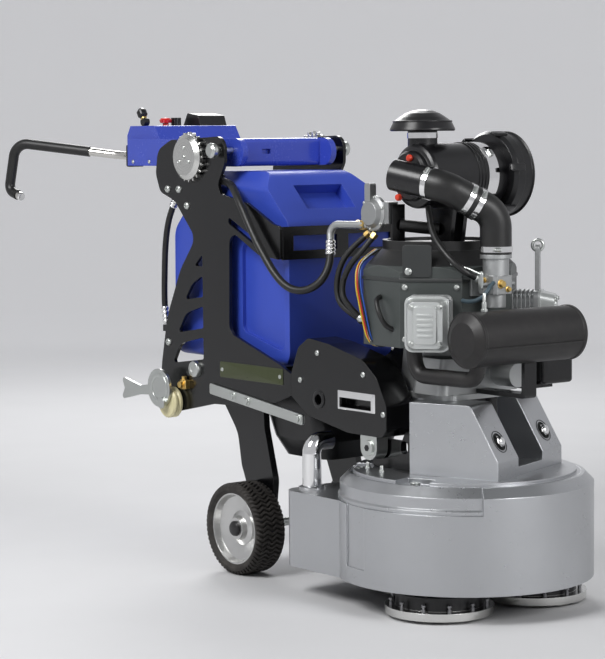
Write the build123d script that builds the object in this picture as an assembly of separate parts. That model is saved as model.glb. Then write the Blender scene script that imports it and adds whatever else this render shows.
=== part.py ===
from build123d import *
from math import acos, cos, pi, radians, sin, tan
import os

os.makedirs("parts", exist_ok=True)

# A walk-behind floor grinder: a round planetary head with a gas engine on top, hinged to a wheeled chassis with a
# water tank and a tilting handle. Millimetres. The floor is z = 0, +X is forward and +Y is the machine's left.
# Everything is drawn with x = 0 on the head's axis, and moved to the middle of the length when it is written.

# Fits
RUN = 0.05
SEAT = 0.3

# Planetary drive
MODULE = 5
PRESSURE_ANGLE = 20
SUN_TEETH = 48
PLANET_TEETH = 24
BACKLASH = 0.8
GEAR_Z = 170
GEAR_WIDTH = 28
DISC_COUNT = 3
FIRST_DISC_ANGLE = -62.7
DISC_GAP = 36
TOOL_HEIGHT = 16
TOOL_R = 34
TOOL_ORBIT = 82
TOOL_PROUD = 8
RIM_HEIGHT = 20
RIM_WIDTH = 16
BUFFER_R = 112
BUFFER_TOP = 62
SPINDLE_R = 25
BOSS_R = 45
BOSS_BOTTOM = 70
CARRIER_Z = 130
CARRIER_THICK = 30
CARRIER_MARGIN = 55
SHAFT_R = 30
ORBIT_R = MODULE * (SUN_TEETH + PLANET_TEETH) / 2
DISC_R = ORBIT_R * sin(pi / DISC_COUNT) - DISC_GAP / 2

# Head castings
HEAD_YAW = 20
SHROUD_CLEAR = 15
SHROUD_WALL = 8
SKIRT_Z = 76
ROOF_Z = 276
RING_INSET = 11
RING_WALL = 16
RING_TOP = 342
TIER_TOP = 350
BEVEL = 24
TIER_OUT_R = 288
FLANGE_R = 190
CASE_R = 150
CASE_HUB_R = 100
CASE_FLARE_Z = 240
FRONT_RIM_ARC = 108
EXTENSION_REACH = 385
EXTENSION_HALF = 300
EXTENSION_CORNER = 45
POCKET_ARC = 15
POCKET_START = -106
POCKET_DEPTH = 4
POCKET_BOTTOM = 118
LIP = 5
LIP_HEIGHT = 9
BAY_COUNT = 4
BAY_FIRST = -69
BAY_STEP = 66
BAY_IN_R = 234
BAY_OUT_R = 293
BAY_IN_HALF = 38
BAY_OUT_HALF = 50
BAY_FLOOR = 336
SHROUD_R = ORBIT_R + DISC_R + SHROUD_CLEAR
RING_R = SHROUD_R - RING_INSET
DUST_X = -342
DUST_Y = -232
DUST_R = 25
DUST_WALL = 2
DUST_RISE = 118
DUST_BEND = 30
DUST_ARM = 60
DUST_FLANGE_R = 36
DUST_FLANGE = 6

# Engine mount
FOOT_FRONT = 190
FOOT_REAR = -60
FOOT_LEFT_REAR = 60
FOOT_OUT = 181
FOOT_IN = 69
FOOT_LIP = 45
FOOT_TOP_FRONT = 112
MOUNT_TOP = 533
MOUNT_FLOOR = 22
TAIL_REACH = 110
TAIL_HALF = 80
BOLT_POCKET_R = 24
BOLT_POCKET_DEPTH = 26
SHAFT_HOLE_R = 34

# Engine
ENGINE_X = -90
BASE_THICK = 15
BASE_FRONT = 70
BASE_REAR = -202
BASE_HALF = 115
CRANKCASE_R = 112
SUMP_X = 4
SUMP_LENGTH = 128
SUMP_HALF = 136
SUMP_TOP = 640
FILTER_Y = 62
FILTER_R = 32
FILTER_REACH = 70
BLOWER_Z = 668
BLOWER_TOP = 912
BLOWER_APOTHEM = 190
BLOWER_EAVES = 873
FAN_RING_R = 150
FAN_RING_TOP = 935
FAN_DISH = 12
V_HALF_ANGLE = 45
V_YAW = -4
CYLINDER_Z = 735
CYLINDER_END = 258
BARREL_WIDTH = 96
BARREL_HEIGHT = 118
FIN_WIDTH = 112
FIN_HEIGHT = 138
FIN_COUNT = 6
FIN_THICK = 4
FIN_PITCH = 11
HEAD_FLANGE = 12
COVER_DEPTH = 40
COVER_WIDTH = 112
COVER_HEIGHT = 140
COVER_DRAFT = 16
MUFFLER_X = 240
MUFFLER_Z = 706
MUFFLER_R = 70
MUFFLER_LIP = 4
MUFFLER_BODY_R = MUFFLER_R - MUFFLER_LIP / 2
MUFFLER_NEAR = -222
MUFFLER_FAR = 150
PIPE_R = 15
CARB_X = 145
CARB_Y = -23
CARB_TOP = 905
CARB_BOTTOM = 806
CARB_BODY_TOP = 852
CARB_R = 33
CLEANER_X = -60
CLEANER_Z = 1100
CLEANER_R = 83
CLEANER_NEAR = -112
CLEANER_JOIN = 136
CLEANER_FAR = 222
CLEANER_CAP_R = 112
CLEANER_NOSE = 24
CLEANER_NOSE_R = 58
NECK_X = -76
NECK_Y = -72
NECK_R = 38
NECK_TOP = 1214
RAIN_R = 84
RAIN_BRIM = 23
RAIN_DOME = 32
HOSE_R = 40
CLAMP_WIDTH = 14
CLAMP_THICK = 2
BAND_Y = 68
BAND_WIDTH = 34
RIB_COUNT = 3
RIB_PITCH = 11
RIB_WIDE = 4
RIB_PROUD = 2
REGULATOR_X = -195
REGULATOR_Z = 1003
REGULATOR_R = 46
REGULATOR_FACE = -155
REGULATOR_BACK = -105
BATTERY_X = 40
BATTERY_Y = 228
BATTERY_LONG = 150
BATTERY_WIDE = 110
BATTERY_LOW = 558
BATTERY_HIGH = 88
STAND_X = -136
STAND_THICK = 8

# Chassis
PLATE_IN = 206
PLATE_THICK = 10
PIVOT_X = -134
PIVOT_Z = 404
PIVOT_PIN_R = 14
LUG_R = 32
COVER_INNER = 126
COVER_BOTTOM = 436
CLEVIS_IN = 172
CLEVIS_OUT = 210
BRACKET_IN = 146
BRACKET_OUT = 166
TANK_GAP = 26
TANK_FRONT = -500
TANK_BOTTOM = 583
TANK_TOP = 1108
TANK_SHOULDER = 46
TANK_EDGE = 22
TANK_PANEL = 12
BAND_THICK = 8
TILT_X = -897
TILT_Z = 1148
STUB_R = 24
TUBE_X = -715
TUBE_Z = 530
TUBE_SIZE = 60
REAR_BAR_X = -1010
REAR_BAR_Z = 508
REAR_BAR_R = 18
LEG_OUT = 160
LEG_THICK = 20
AXLE_X = -665
AXLE_R = 12

# Wheels
TYRE_R = 127
TYRE_WIDTH = 95
TYRE_ROUND = 13
RIM_R = 98.5
WHEEL_SIDE = 7
HUB_R = 34
RIM_DISH = 26

# Handle
ARM_OUT = 165
ARM_THICK = 18
ARM_REAR = -1300
ARM_FRONT = -722
ARM_BOTTOM = 1121
ARM_TOP = 1199
BEAM_REAR = -835
BEAM_FRONT = -775
CONSOLE_REAR = -1327
CONSOLE_FRONT = -1157
CONSOLE_TOP = 1238
CONSOLE_BEVEL = 40
INDEX_R = 64
INDEX_TEETH = 20
INDEX_THICK = 12
INDEX_FACE = 16
BAR_R = 12.5
GRIP_R = 15.5
LOCK_X = -773
LOCK_Z = 1166
LOCK_PIN_R = 8
LOCK_KNOB_R = 21
LOCK_KNOB = 30
LOCK_TIP_GAP = 1
CONTROL_X = -1295
STOP_Y = -30
STOP_TRAVEL = 5
STOP_STEM_R = 9
STOP_WELL = 14

# Pedal
PEDAL_X = -992
PEDAL_Z = 448
PEDAL_THICK = 9
PEDAL_DISC_R = 55
PEDAL_PIN_R = 8
ROLLER_R = 44
ROLLER_WIDTH = 30
ROLLER_GAP = 2.5
ROLLER_GROOVE = 5
ROLLER_COLLAR_R = 14


def revolved(points):
    """Turned solid: a closed outline of radius and height, carried once round the Z axis."""
    outline = Polyline(*[(radius, 0, height) for radius, height in points], close=True)
    return revolve(make_face(outline.edges()), Axis.Z)


def turned_y(points):
    """Turned solid about the Y axis: points are radius and y."""
    return Rot(-90, 0, 0) * revolved(points)


def prism(points, low, high):
    """Plate between two Y planes; each outline point is x, z and the radius of its corner."""
    outline = FilletPolyline(*[(x, z) for x, z, r in points], radius=[r for x, z, r in points], close=True)
    return extrude(Plane.XZ.offset(-high) * make_face(outline.edges()), high - low)


def slab(x0, x1, y0, y1, z0, z1):
    """Rectangular block between two corners."""
    return Pos((x0 + x1) / 2, (y0 + y1) / 2, (z0 + z1) / 2) * Box(x1 - x0, y1 - y0, z1 - z0)


def rod(x, z, radius, low, high):
    """Round bar along Y between two planes."""
    return Pos(x, (low + high) / 2, z) * Rot(90, 0, 0) * Cylinder(radius, high - low)


def post(x, y, radius, low, high):
    """Round bar along Z between two heights."""
    return Pos(x, y, (low + high) / 2) * Cylinder(radius, high - low)


def other_side(solid):
    """The same piece on the machine's left."""
    return mirror(solid, about=Plane.XZ)


def tube(points, radii, radius, bore=0):
    """Round bar or pipe swept along straight runs joined by tangent arcs."""
    path = FilletPolyline(*points, radius=radii)
    start = Plane(origin=path @ 0, z_dir=path % 0)
    section = Circle(radius) - Circle(bore) if bore else Circle(radius)
    return sweep(start * section, path=path)


def hose(name, points, radius):
    """Hose along its route, with the largest arc that each corner's runs allow."""
    route = [Vector(*point) for point in points]
    radii = []
    for before, corner, after in zip(route, route[1:], route[2:]):
        turn = (corner - before).get_angle(after - corner)
        radii.append(0.45 * min((corner - before).length, (after - corner).length) / tan(radians(turn) / 2))
    solid = tube(points, radii, radius)
    length = FilletPolyline(*points, radius=radii).length
    share = solid.volume / (pi * radius**2 * length)
    print(name, "length", round(length), "radii", [round(r) for r in radii], "volume share", round(share, 4))
    return solid


def toothed(teeth, module, width, bore, spare):
    """Spur gear: involute teeth drawn by three points a flank and thinned by the backlash."""
    pitch_r = module * teeth / 2
    base_r = pitch_r * cos(radians(PRESSURE_ANGLE))
    half = (pi * module / 4 - spare / 2) / pitch_r

    def rolled(radius):
        lean = acos(min(1, base_r / radius))
        return tan(lean) - lean

    flank = []
    for reach in (pitch_r - 1.25 * module, pitch_r, pitch_r + module):
        flank.append((reach, half + rolled(pitch_r) - rolled(reach)))
    corners = []
    for tooth in range(teeth):
        middle = 2 * pi * tooth / teeth
        for reach, offset in [(r, -a) for r, a in flank] + flank[::-1]:
            corners.append((reach * cos(middle + offset), reach * sin(middle + offset)))
    blank = make_face(Polyline(*corners, close=True).edges())
    return extrude(blank - Circle(bore) if bore else blank, width)


def save(node, *solids):
    """Writes one node; its solids stay separate bodies."""
    placed = [Pos(HEAD_X, 0, 0) * solid for piece in solids for solid in piece.solids()]
    export_step(placed[0] if len(placed) == 1 else Compound(placed), f"parts/{node}.step")


# Handlebars first: their reach sets where the middle of the machine's length lies.
BAR_ROUTE = [
    (CONSOLE_REAR, -118, 1150),
    (CONSOLE_REAR - 73, -118, 1150),
    (-1686, -318, 1192),
    (-1712, -329, 1046),
    (-1655, -322, 1028),
]
BAR_BENDS = [90, 46, 26]
GRIP_START = 0.3
grip_from = Vector(*BAR_ROUTE[1]) * (1 - GRIP_START) + Vector(*BAR_ROUTE[2]) * GRIP_START
GRIP_END = 0.75
grip_to = Vector(*BAR_ROUTE[3]) * (1 - GRIP_END) + Vector(*BAR_ROUTE[4]) * GRIP_END
grip = tube([grip_from, BAR_ROUTE[2], BAR_ROUTE[3], grip_to], BAR_BENDS[1:], GRIP_R, BAR_R)
handlebar = tube(BAR_ROUTE, BAR_BENDS, BAR_R)
REAR = grip.bounding_box().min.X
HEAD_X = -(REAR + SHROUD_R) / 2


def make_shroud():
    """Skirt with a rear extension, open below, and a taller bevelled rim round the front."""
    outline = Circle(SHROUD_R) + Pos(-EXTENSION_REACH / 2, 0) * Rectangle(EXTENSION_REACH, 2 * EXTENSION_HALF)
    corners = [v for v in outline.vertices() if v.X < -EXTENSION_REACH + 1]
    outline = fillet(corners, EXTENSION_CORNER)
    skirt = extrude(Pos(0, 0, SKIRT_Z) * outline, ROOF_Z - SKIRT_Z)
    hollow = extrude(Pos(0, 0, SKIRT_Z) * offset(outline, -SHROUD_WALL), ROOF_Z - SHROUD_WALL - SKIRT_Z)
    skirt = skirt - hollow - post(0, 0, RING_R - RING_WALL, ROOF_Z - SHROUD_WALL, ROOF_Z)
    rim_low = RING_TOP - BEVEL
    rim_in = RING_R + SEAT
    profile = [
        (rim_in + LIP, ROOF_Z),
        (SHROUD_R, ROOF_Z),
        (SHROUD_R, rim_low),
        (SHROUD_R - BEVEL, RING_TOP),
        (rim_in - BEVEL, RING_TOP),
        (rim_in, rim_low),
        (rim_in, ROOF_Z + LIP_HEIGHT + LIP),
        (rim_in + LIP, ROOF_Z + LIP_HEIGHT),
    ]
    section = make_face(Polyline(*[(r, 0, z) for r, z in profile], close=True).edges())
    rim = Rot(0, 0, HEAD_YAW - FRONT_RIM_ARC / 2) * revolve(section, Axis.Z, FRONT_RIM_ARC)
    pocket_band = [
        (SHROUD_R - POCKET_DEPTH, POCKET_BOTTOM),
        (SHROUD_R + SHROUD_WALL, POCKET_BOTTOM),
        (SHROUD_R + SHROUD_WALL, ROOF_Z),
        (SHROUD_R - POCKET_DEPTH, ROOF_Z),
    ]
    pocket_face = make_face(Polyline(*[(r, 0, z) for r, z in pocket_band], close=True).edges())
    pocket = Rot(0, 0, POCKET_START) * revolve(pocket_face, Axis.Z, POCKET_ARC)
    dust_hole = post(DUST_X, DUST_Y, DUST_R - DUST_WALL, ROOF_Z - 2 * SHROUD_WALL, ROOF_Z + 1)
    return skirt + rim - pocket - other_side(pocket) - dust_hole


def make_ring():
    """Ring casting on the skirt: foot lip, bevelled rim, raised inner tier with screw bays, seat for the gear case."""
    inner = RING_R - RING_WALL
    ring = revolved(
        [
            (RING_R + LIP, ROOF_Z),
            (RING_R + LIP, ROOF_Z + LIP_HEIGHT),
            (RING_R, ROOF_Z + LIP_HEIGHT + LIP),
            (RING_R, RING_TOP - BEVEL),
            (RING_R - BEVEL, RING_TOP),
            (TIER_OUT_R, RING_TOP),
            (TIER_OUT_R, TIER_TOP),
            (FLANGE_R, TIER_TOP),
            (FLANGE_R, RING_TOP),
            (CASE_R + SEAT, RING_TOP),
            (CASE_R + SEAT, RING_TOP - RING_WALL),
            (inner, RING_TOP - RING_WALL),
            (inner, ROOF_Z),
        ]
    )
    bay = make_face(
        Polyline(
            (BAY_IN_R, -BAY_IN_HALF, BAY_FLOOR),
            (BAY_OUT_R, -BAY_OUT_HALF, BAY_FLOOR),
            (BAY_OUT_R, BAY_OUT_HALF, BAY_FLOOR),
            (BAY_IN_R, BAY_IN_HALF, BAY_FLOOR),
            close=True,
        ).edges()
    )
    bay = extrude(bay, TIER_TOP - BAY_FLOOR + 1, dir=(0, 0, 1))
    for i in range(BAY_COUNT):
        ring = ring - Rot(0, 0, BAY_FIRST - i * BAY_STEP) * bay
    return ring


def make_engine_mount():
    """Casting with two sloped feet, a recess between them and a tail, turned with the head."""
    side = [
        (FOOT_REAR, TIER_TOP, 0),
        (FOOT_FRONT, TIER_TOP, 0),
        (FOOT_FRONT, TIER_TOP + FOOT_LIP, 8),
        (FOOT_TOP_FRONT, MOUNT_TOP, 14),
        (FOOT_REAR, MOUNT_TOP, 0),
    ]
    block = prism(side, -FOOT_OUT, FOOT_OUT)
    recess = slab(FOOT_REAR + MOUNT_FLOOR, FOOT_FRONT + 1, -FOOT_IN, FOOT_IN, TIER_TOP + MOUNT_FLOOR, MOUNT_TOP + 1)
    tail = slab(-TAIL_REACH, FOOT_REAR, -TAIL_HALF, TAIL_HALF, TIER_TOP, MOUNT_TOP)
    hinge_room = slab(FOOT_REAR, FOOT_LEFT_REAR, FOOT_IN, FOOT_OUT, TIER_TOP, MOUNT_TOP)
    mount = block - recess - hinge_room + tail
    for place in bolt_places():
        mount = mount - place * Pos(0, 0, BOLT_POCKET_DEPTH / 2) * Cylinder(BOLT_POCKET_R, BOLT_POCKET_DEPTH)
    mount = mount - post(0, 0, SHAFT_HOLE_R, TIER_TOP, TIER_TOP + MOUNT_FLOOR + 1)
    return Rot(0, 0, HEAD_YAW) * mount


def bolt_places():
    """Seats of the foot bolts: sunk into the sloped faces, square to them."""
    slope = Vector(FOOT_TOP_FRONT - FOOT_FRONT, 0, MOUNT_TOP - TIER_TOP - FOOT_LIP).normalized()
    normal = Vector(slope.Z, 0, -slope.X)
    middle = Vector(FOOT_FRONT, 0, TIER_TOP + FOOT_LIP) + slope * 52
    seat = middle - normal * BOLT_POCKET_DEPTH
    side = (FOOT_OUT + FOOT_IN) / 2
    return [Location(Plane(origin=seat + Vector(0, y, 0), x_dir=(0, 1, 0), z_dir=normal)) for y in (-side, side)]


def make_gear_case():
    """Turned housing that carries the drive shaft, closed by a flange on the ring casting."""
    return revolved(
        [
            (SHAFT_R + RUN, GEAR_Z + GEAR_WIDTH),
            (CASE_HUB_R, GEAR_Z + GEAR_WIDTH),
            (CASE_HUB_R, CASE_FLARE_Z),
            (CASE_R, CASE_FLARE_Z + CASE_R - CASE_HUB_R),
            (CASE_R, RING_TOP),
            (FLANGE_R - SEAT, RING_TOP),
            (FLANGE_R - SEAT, TIER_TOP),
            (SHAFT_R + RUN, TIER_TOP),
        ]
    )


def make_carrier():
    """Plate with three spindle bosses and the drive shaft that hangs it from the gear case."""
    plate_r = ORBIT_R + CARRIER_MARGIN
    top = CARRIER_Z + CARRIER_THICK
    carrier = post(0, 0, plate_r, CARRIER_Z, top) + post(0, 0, SHAFT_R, top, TIER_TOP)
    for i in range(DISC_COUNT):
        place = Rot(0, 0, FIRST_DISC_ANGLE + 360 * i / DISC_COUNT) * Pos(ORBIT_R, 0, 0)
        carrier = carrier + place * post(0, 0, BOSS_R, BOSS_BOTTOM, CARRIER_Z)
        carrier = carrier - place * post(0, 0, SPINDLE_R + RUN, BOSS_BOTTOM, top)
    return carrier


def make_disc():
    """Grinding disc: rimmed plate, buffer drum and spindle in one turned piece."""
    plate_low = TOOL_HEIGHT
    rim_top = TOOL_PROUD + RIM_HEIGHT
    return revolved(
        [
            (0, plate_low),
            (DISC_R - RIM_WIDTH, plate_low),
            (DISC_R - RIM_WIDTH, TOOL_PROUD),
            (DISC_R, TOOL_PROUD),
            (DISC_R, rim_top),
            (BUFFER_R, rim_top),
            (BUFFER_R, BUFFER_TOP),
            (SPINDLE_R + 10, BUFFER_TOP),
            (SPINDLE_R + 10, BOSS_BOTTOM - SEAT),
            (SPINDLE_R, BOSS_BOTTOM - SEAT),
            (SPINDLE_R, GEAR_Z + GEAR_WIDTH),
            (0, GEAR_Z + GEAR_WIDTH),
        ]
    )


def make_tools():
    """Three round diamond tools under a disc."""
    return [
        Rot(0, 0, 60 + 120 * i) * post(TOOL_ORBIT, 0, TOOL_R, 0, TOOL_HEIGHT) for i in range(3)
    ]


def make_dust_port():
    """Chrome pipe with a flange and a quarter bend towards the machine's middle."""
    rise = ROOF_Z + DUST_FLANGE + DUST_RISE
    route = [(DUST_X, DUST_Y, ROOF_Z), (DUST_X, DUST_Y, rise), (DUST_X, DUST_Y + DUST_ARM, rise)]
    pipe = tube(route, [DUST_BEND], DUST_R, DUST_R - DUST_WALL)
    flange = post(DUST_X, DUST_Y, DUST_FLANGE_R, ROOF_Z, ROOF_Z + DUST_FLANGE)
    bore = post(DUST_X, DUST_Y, DUST_R - DUST_WALL, ROOF_Z, ROOF_Z + DUST_FLANGE)
    return pipe + (flange - bore)


def make_head_bracket():
    """Hinge bracket bolted to the ring: foot, web with an oval window, eye for the hinge pin."""
    web = prism(
        [
            (PIVOT_X - 34, TIER_TOP, 6),
            (PIVOT_X + 118, TIER_TOP, 6),
            (PIVOT_X + 120, PIVOT_Z + 16, 16),
            (PIVOT_X + 106, PIVOT_Z + 46, 10),
            (PIVOT_X + 94, PIVOT_Z + 46, 6),
            (PIVOT_X + 80, PIVOT_Z + 20, 12),
            (PIVOT_X - 34, PIVOT_Z + 20, 18),
        ],
        -BRACKET_OUT,
        -BRACKET_IN,
    )
    window = prism(
        [
            (PIVOT_X + 76, PIVOT_Z - 10, 11),
            (PIVOT_X + 104, PIVOT_Z - 10, 11),
            (PIVOT_X + 104, PIVOT_Z + 22, 11),
            (PIVOT_X + 76, PIVOT_Z + 22, 11),
        ],
        -BRACKET_OUT,
        -BRACKET_IN,
    )
    eye = rod(PIVOT_X, PIVOT_Z, PIVOT_PIN_R + RUN, -BRACKET_OUT, -BRACKET_IN)
    return web - window - eye


def make_crankcase():
    """Base plate, drafted eight-sided crankcase, wide front sump and an oil filter."""
    low = MOUNT_TOP + BASE_THICK
    plate = Pos((BASE_FRONT + BASE_REAR) / 2, 0, MOUNT_TOP) * extrude(
        RectangleRounded(BASE_FRONT - BASE_REAR, 2 * BASE_HALF, 30), BASE_THICK
    )
    foot = Pos(ENGINE_X, 0, low) * RegularPolygon(CRANKCASE_R, 8, rotation=22.5)
    neck = Pos(ENGINE_X, 0, BLOWER_Z) * RegularPolygon(CRANKCASE_R - 12, 8, rotation=22.5)
    sump_low = Pos(SUMP_X, 0, low) * RectangleRounded(SUMP_LENGTH, 2 * SUMP_HALF, 24)
    sump_high = Pos(SUMP_X, 0, SUMP_TOP) * RectangleRounded(SUMP_LENGTH - 16, 2 * SUMP_HALF - 30, 20)
    filter_z = (low + SUMP_TOP) / 2
    oil_filter = Pos(SUMP_X + SUMP_LENGTH / 2, FILTER_Y, filter_z) * Rot(0, 90, 0) * Cylinder(FILTER_R, 2 * FILTER_REACH)
    return plate + loft([foot, neck]) + loft([sump_low, sump_high]) + oil_filter


def make_blower():
    """Sheet-metal fan housing: eight-sided drum under a sloped roof, with a round screened inlet on top."""
    side_r = BLOWER_APOTHEM / cos(pi / 8)
    drum = Pos(ENGINE_X, 0, BLOWER_Z) * extrude(
        RegularPolygon(side_r, 8, rotation=22.5 + V_YAW), BLOWER_TOP - BLOWER_Z
    )
    fall = (BLOWER_TOP - BLOWER_EAVES) / (BLOWER_APOTHEM - FAN_RING_R)
    far_r = 2 * BLOWER_APOTHEM - FAN_RING_R
    roof = [
        (0, BLOWER_Z),
        (far_r, BLOWER_Z),
        (far_r, BLOWER_TOP - fall * (far_r - FAN_RING_R)),
        (FAN_RING_R, BLOWER_TOP),
        (0, BLOWER_TOP),
    ]
    drum = drum & Pos(ENGINE_X, 0, 0) * revolved(roof)
    ring = post(ENGINE_X, 0, FAN_RING_R, BLOWER_TOP, FAN_RING_TOP)
    dish = post(ENGINE_X, 0, FAN_RING_R - FAN_DISH, FAN_RING_TOP - FAN_DISH, FAN_RING_TOP)
    return drum + (ring - dish)


def cylinder_place(side):
    """Where a cylinder leaves the blower housing, with local Z along the cylinder."""
    angle = radians(side * V_HALF_ANGLE + V_YAW)
    outward = Vector(cos(angle), sin(angle), 0)
    origin = Vector(ENGINE_X, 0, CYLINDER_Z) + outward * BLOWER_APOTHEM
    return Location(Plane(origin=origin, x_dir=(-sin(angle), cos(angle), 0), z_dir=outward))


def make_cylinder(side):
    """Finned barrel with a head flange."""
    reach = CYLINDER_END - BLOWER_APOTHEM
    piece = extrude(RectangleRounded(BARREL_WIDTH, BARREL_HEIGHT, 18), reach)
    fin = extrude(RectangleRounded(FIN_WIDTH, FIN_HEIGHT, 16), FIN_THICK)
    for i in range(FIN_COUNT):
        piece = piece + Pos(0, 0, i * FIN_PITCH) * fin
    piece = piece + Pos(0, 0, reach - HEAD_FLANGE) * extrude(RectangleRounded(FIN_WIDTH, FIN_HEIGHT, 16), HEAD_FLANGE)
    return cylinder_place(side) * piece


def make_lifting_eye():
    """Flat strap with an eye, standing on the left cylinder's head flange."""
    eye_low = CYLINDER_Z + FIN_HEIGHT / 2
    eye_at = (cylinder_place(1) * Pos(0, 0, CYLINDER_END - BLOWER_APOTHEM - HEAD_FLANGE / 2)).position
    eye = prism([(-16, 0, 0), (16, 0, 0), (16, 118, 15), (-16, 118, 15)], -HEAD_FLANGE / 2, HEAD_FLANGE / 2)
    eye = eye - rod(0, 101, 9, -HEAD_FLANGE / 2, HEAD_FLANGE / 2)
    eye = Pos(eye_at.X, eye_at.Y, eye_low) * Rot(0, 0, V_HALF_ANGLE + V_YAW + 90) * eye
    return eye


def make_valve_cover(side):
    """Pressed cover with drafted sides and a rolled foot flange."""
    reach = CYLINDER_END - BLOWER_APOTHEM
    flange = extrude(RectangleRounded(COVER_WIDTH, COVER_HEIGHT, 20), 6)
    low = Pos(0, 0, 6) * RectangleRounded(COVER_WIDTH - 8, COVER_HEIGHT - 8, 18)
    high = Pos(0, 0, COVER_DEPTH) * RectangleRounded(COVER_WIDTH - 8 - COVER_DRAFT, COVER_HEIGHT - 8 - COVER_DRAFT, 18)
    panel = extrude(Pos(0, 0, COVER_DEPTH) * RectangleRounded(COVER_WIDTH - 52, COVER_HEIGHT - 44, 12), 4, taper=20)
    return cylinder_place(side) * Pos(0, 0, reach) * (flange + loft([low, high]) + panel)


def make_muffler():
    """Round canister with dished ends and rolled seams."""
    dish = 14
    outline = [
        (0, MUFFLER_NEAR),
        (MUFFLER_R - 26, MUFFLER_NEAR),
        (MUFFLER_R - MUFFLER_LIP, MUFFLER_NEAR + dish),
        (MUFFLER_R, MUFFLER_NEAR + dish),
        (MUFFLER_R, MUFFLER_NEAR + dish + 8),
        (MUFFLER_BODY_R, MUFFLER_NEAR + dish + 10),
        (MUFFLER_BODY_R, MUFFLER_FAR - dish - 10),
        (MUFFLER_R, MUFFLER_FAR - dish - 8),
        (MUFFLER_R, MUFFLER_FAR - dish),
        (MUFFLER_R - MUFFLER_LIP, MUFFLER_FAR - dish),
        (MUFFLER_R - 26, MUFFLER_FAR),
        (0, MUFFLER_FAR),
    ]
    return Pos(MUFFLER_X, 0, MUFFLER_Z) * turned_y(outline)


def make_exhaust_pipe():
    """Bent pipe from under the right cylinder's left edge to the muffler."""
    reach = (CYLINDER_END - BLOWER_APOTHEM) / 2
    port = (cylinder_place(-1) * Pos(-FIN_WIDTH / 3, 0, reach)).position
    top = CYLINDER_Z - FIN_HEIGHT / 2 - SEAT
    low = MUFFLER_Z - MUFFLER_R - 32
    end_y = MUFFLER_NEAR + 52
    route = [
        (port.X, port.Y, top),
        (port.X, port.Y, low),
        (MUFFLER_X, end_y, low),
        (MUFFLER_X, end_y, MUFFLER_Z - MUFFLER_BODY_R - SEAT),
    ]
    return tube(route, [30, 26], PIPE_R)


def make_carburettor():
    """Mixer: round throat with a lip on a square body, bowl below, throttle shaft across, flange on the housing."""
    face_x = ENGINE_X + BLOWER_APOTHEM
    throat = post(CARB_X, CARB_Y, CARB_R, CARB_BODY_TOP, CARB_TOP)
    lip = post(CARB_X, CARB_Y, HOSE_R, CARB_TOP - 10, CARB_TOP)
    body = slab(CARB_X - 34, CARB_X + 32, CARB_Y - 32, CARB_Y + 32, CARB_BOTTOM, CARB_BODY_TOP)
    body = chamfer(body.edges().filter_by(Axis.Z), 8)
    bowl = post(CARB_X, CARB_Y, CARB_R - 8, CARB_BOTTOM - 34, CARB_BOTTOM)
    shaft = rod(CARB_X + 8, CARB_BOTTOM + 24, 6, CARB_Y - 58, CARB_Y + 52)
    flange = slab(BLOWER_APOTHEM, BLOWER_APOTHEM + 8, -54, 34, CARB_BOTTOM - 6, CARB_BODY_TOP + 8)
    flange = Pos(ENGINE_X, 0, 0) * Rot(0, 0, V_YAW) * flange
    runner = slab(face_x + 3, CARB_X, CARB_Y - 22, CARB_Y + 22, CARB_BOTTOM + 4, CARB_BODY_TOP - 4)
    return throat + lip + body + bowl + shaft + flange + runner


STUB = CLEANER_R + 8
HOSE_ROUTE = [
    (CLEANER_X + STUB, CLEANER_NEAR - CLEANER_NOSE - 20, CLEANER_Z - 14),
    (CLEANER_X + STUB + 54, CLEANER_NEAR - 23, CLEANER_Z - 26),
    (CARB_X, CARB_Y, CLEANER_Z - 94),
    (CARB_X, CARB_Y, CARB_TOP),
]
HOSE_BENDS = [60, 62]


def make_cleaner_body():
    """Canister with a nosed outlet end; the outlet stub and the rain cap's neck stand on it."""
    outline = [
        (0, CLEANER_NEAR - CLEANER_NOSE),
        (CLEANER_NOSE_R, CLEANER_NEAR - CLEANER_NOSE),
        (CLEANER_NOSE_R + 6, CLEANER_NEAR - CLEANER_NOSE + 6),
        (CLEANER_NOSE_R + 6, CLEANER_NEAR - 6),
        (CLEANER_R - 10, CLEANER_NEAR - 4),
        (CLEANER_R - 3, CLEANER_NEAR),
        (CLEANER_R, CLEANER_NEAR + 8),
        (CLEANER_R, CLEANER_JOIN),
        (0, CLEANER_JOIN),
    ]
    body = Pos(CLEANER_X, 0, CLEANER_Z) * turned_y(outline)
    for i in range(RIB_COUNT):
        rib_y = BAND_Y - (i + 1) * RIB_PITCH
        body = body + rod(CLEANER_X, CLEANER_Z, CLEANER_R + RIB_PROUD, rib_y, rib_y + RIB_WIDE)
    start = Vector(*HOSE_ROUTE[0])
    along = (Vector(*HOSE_ROUTE[1]) - start).normalized()
    stub = Plane(origin=start - along * STUB, z_dir=along) * extrude(Circle(HOSE_R), STUB)
    neck = post(NECK_X, NECK_Y, NECK_R, CLEANER_Z, NECK_TOP)
    return body + stub + neck


def make_cleaner_cover():
    """Wide service cover with a ribbed skirt and a domed end."""
    outline = [
        (0, CLEANER_JOIN),
        (CLEANER_CAP_R - 8, CLEANER_JOIN),
        (CLEANER_CAP_R, CLEANER_JOIN + 10),
        (CLEANER_CAP_R, CLEANER_JOIN + 34),
        (CLEANER_CAP_R - 5, CLEANER_JOIN + 38),
        (CLEANER_CAP_R - 5, CLEANER_JOIN + 62),
        (CLEANER_CAP_R, CLEANER_JOIN + 66),
        (CLEANER_CAP_R - 4, CLEANER_FAR - 16),
        (CLEANER_CAP_R - 26, CLEANER_FAR),
        (0, CLEANER_FAR),
    ]
    return Pos(CLEANER_X, 0, CLEANER_Z) * turned_y(outline)


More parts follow.
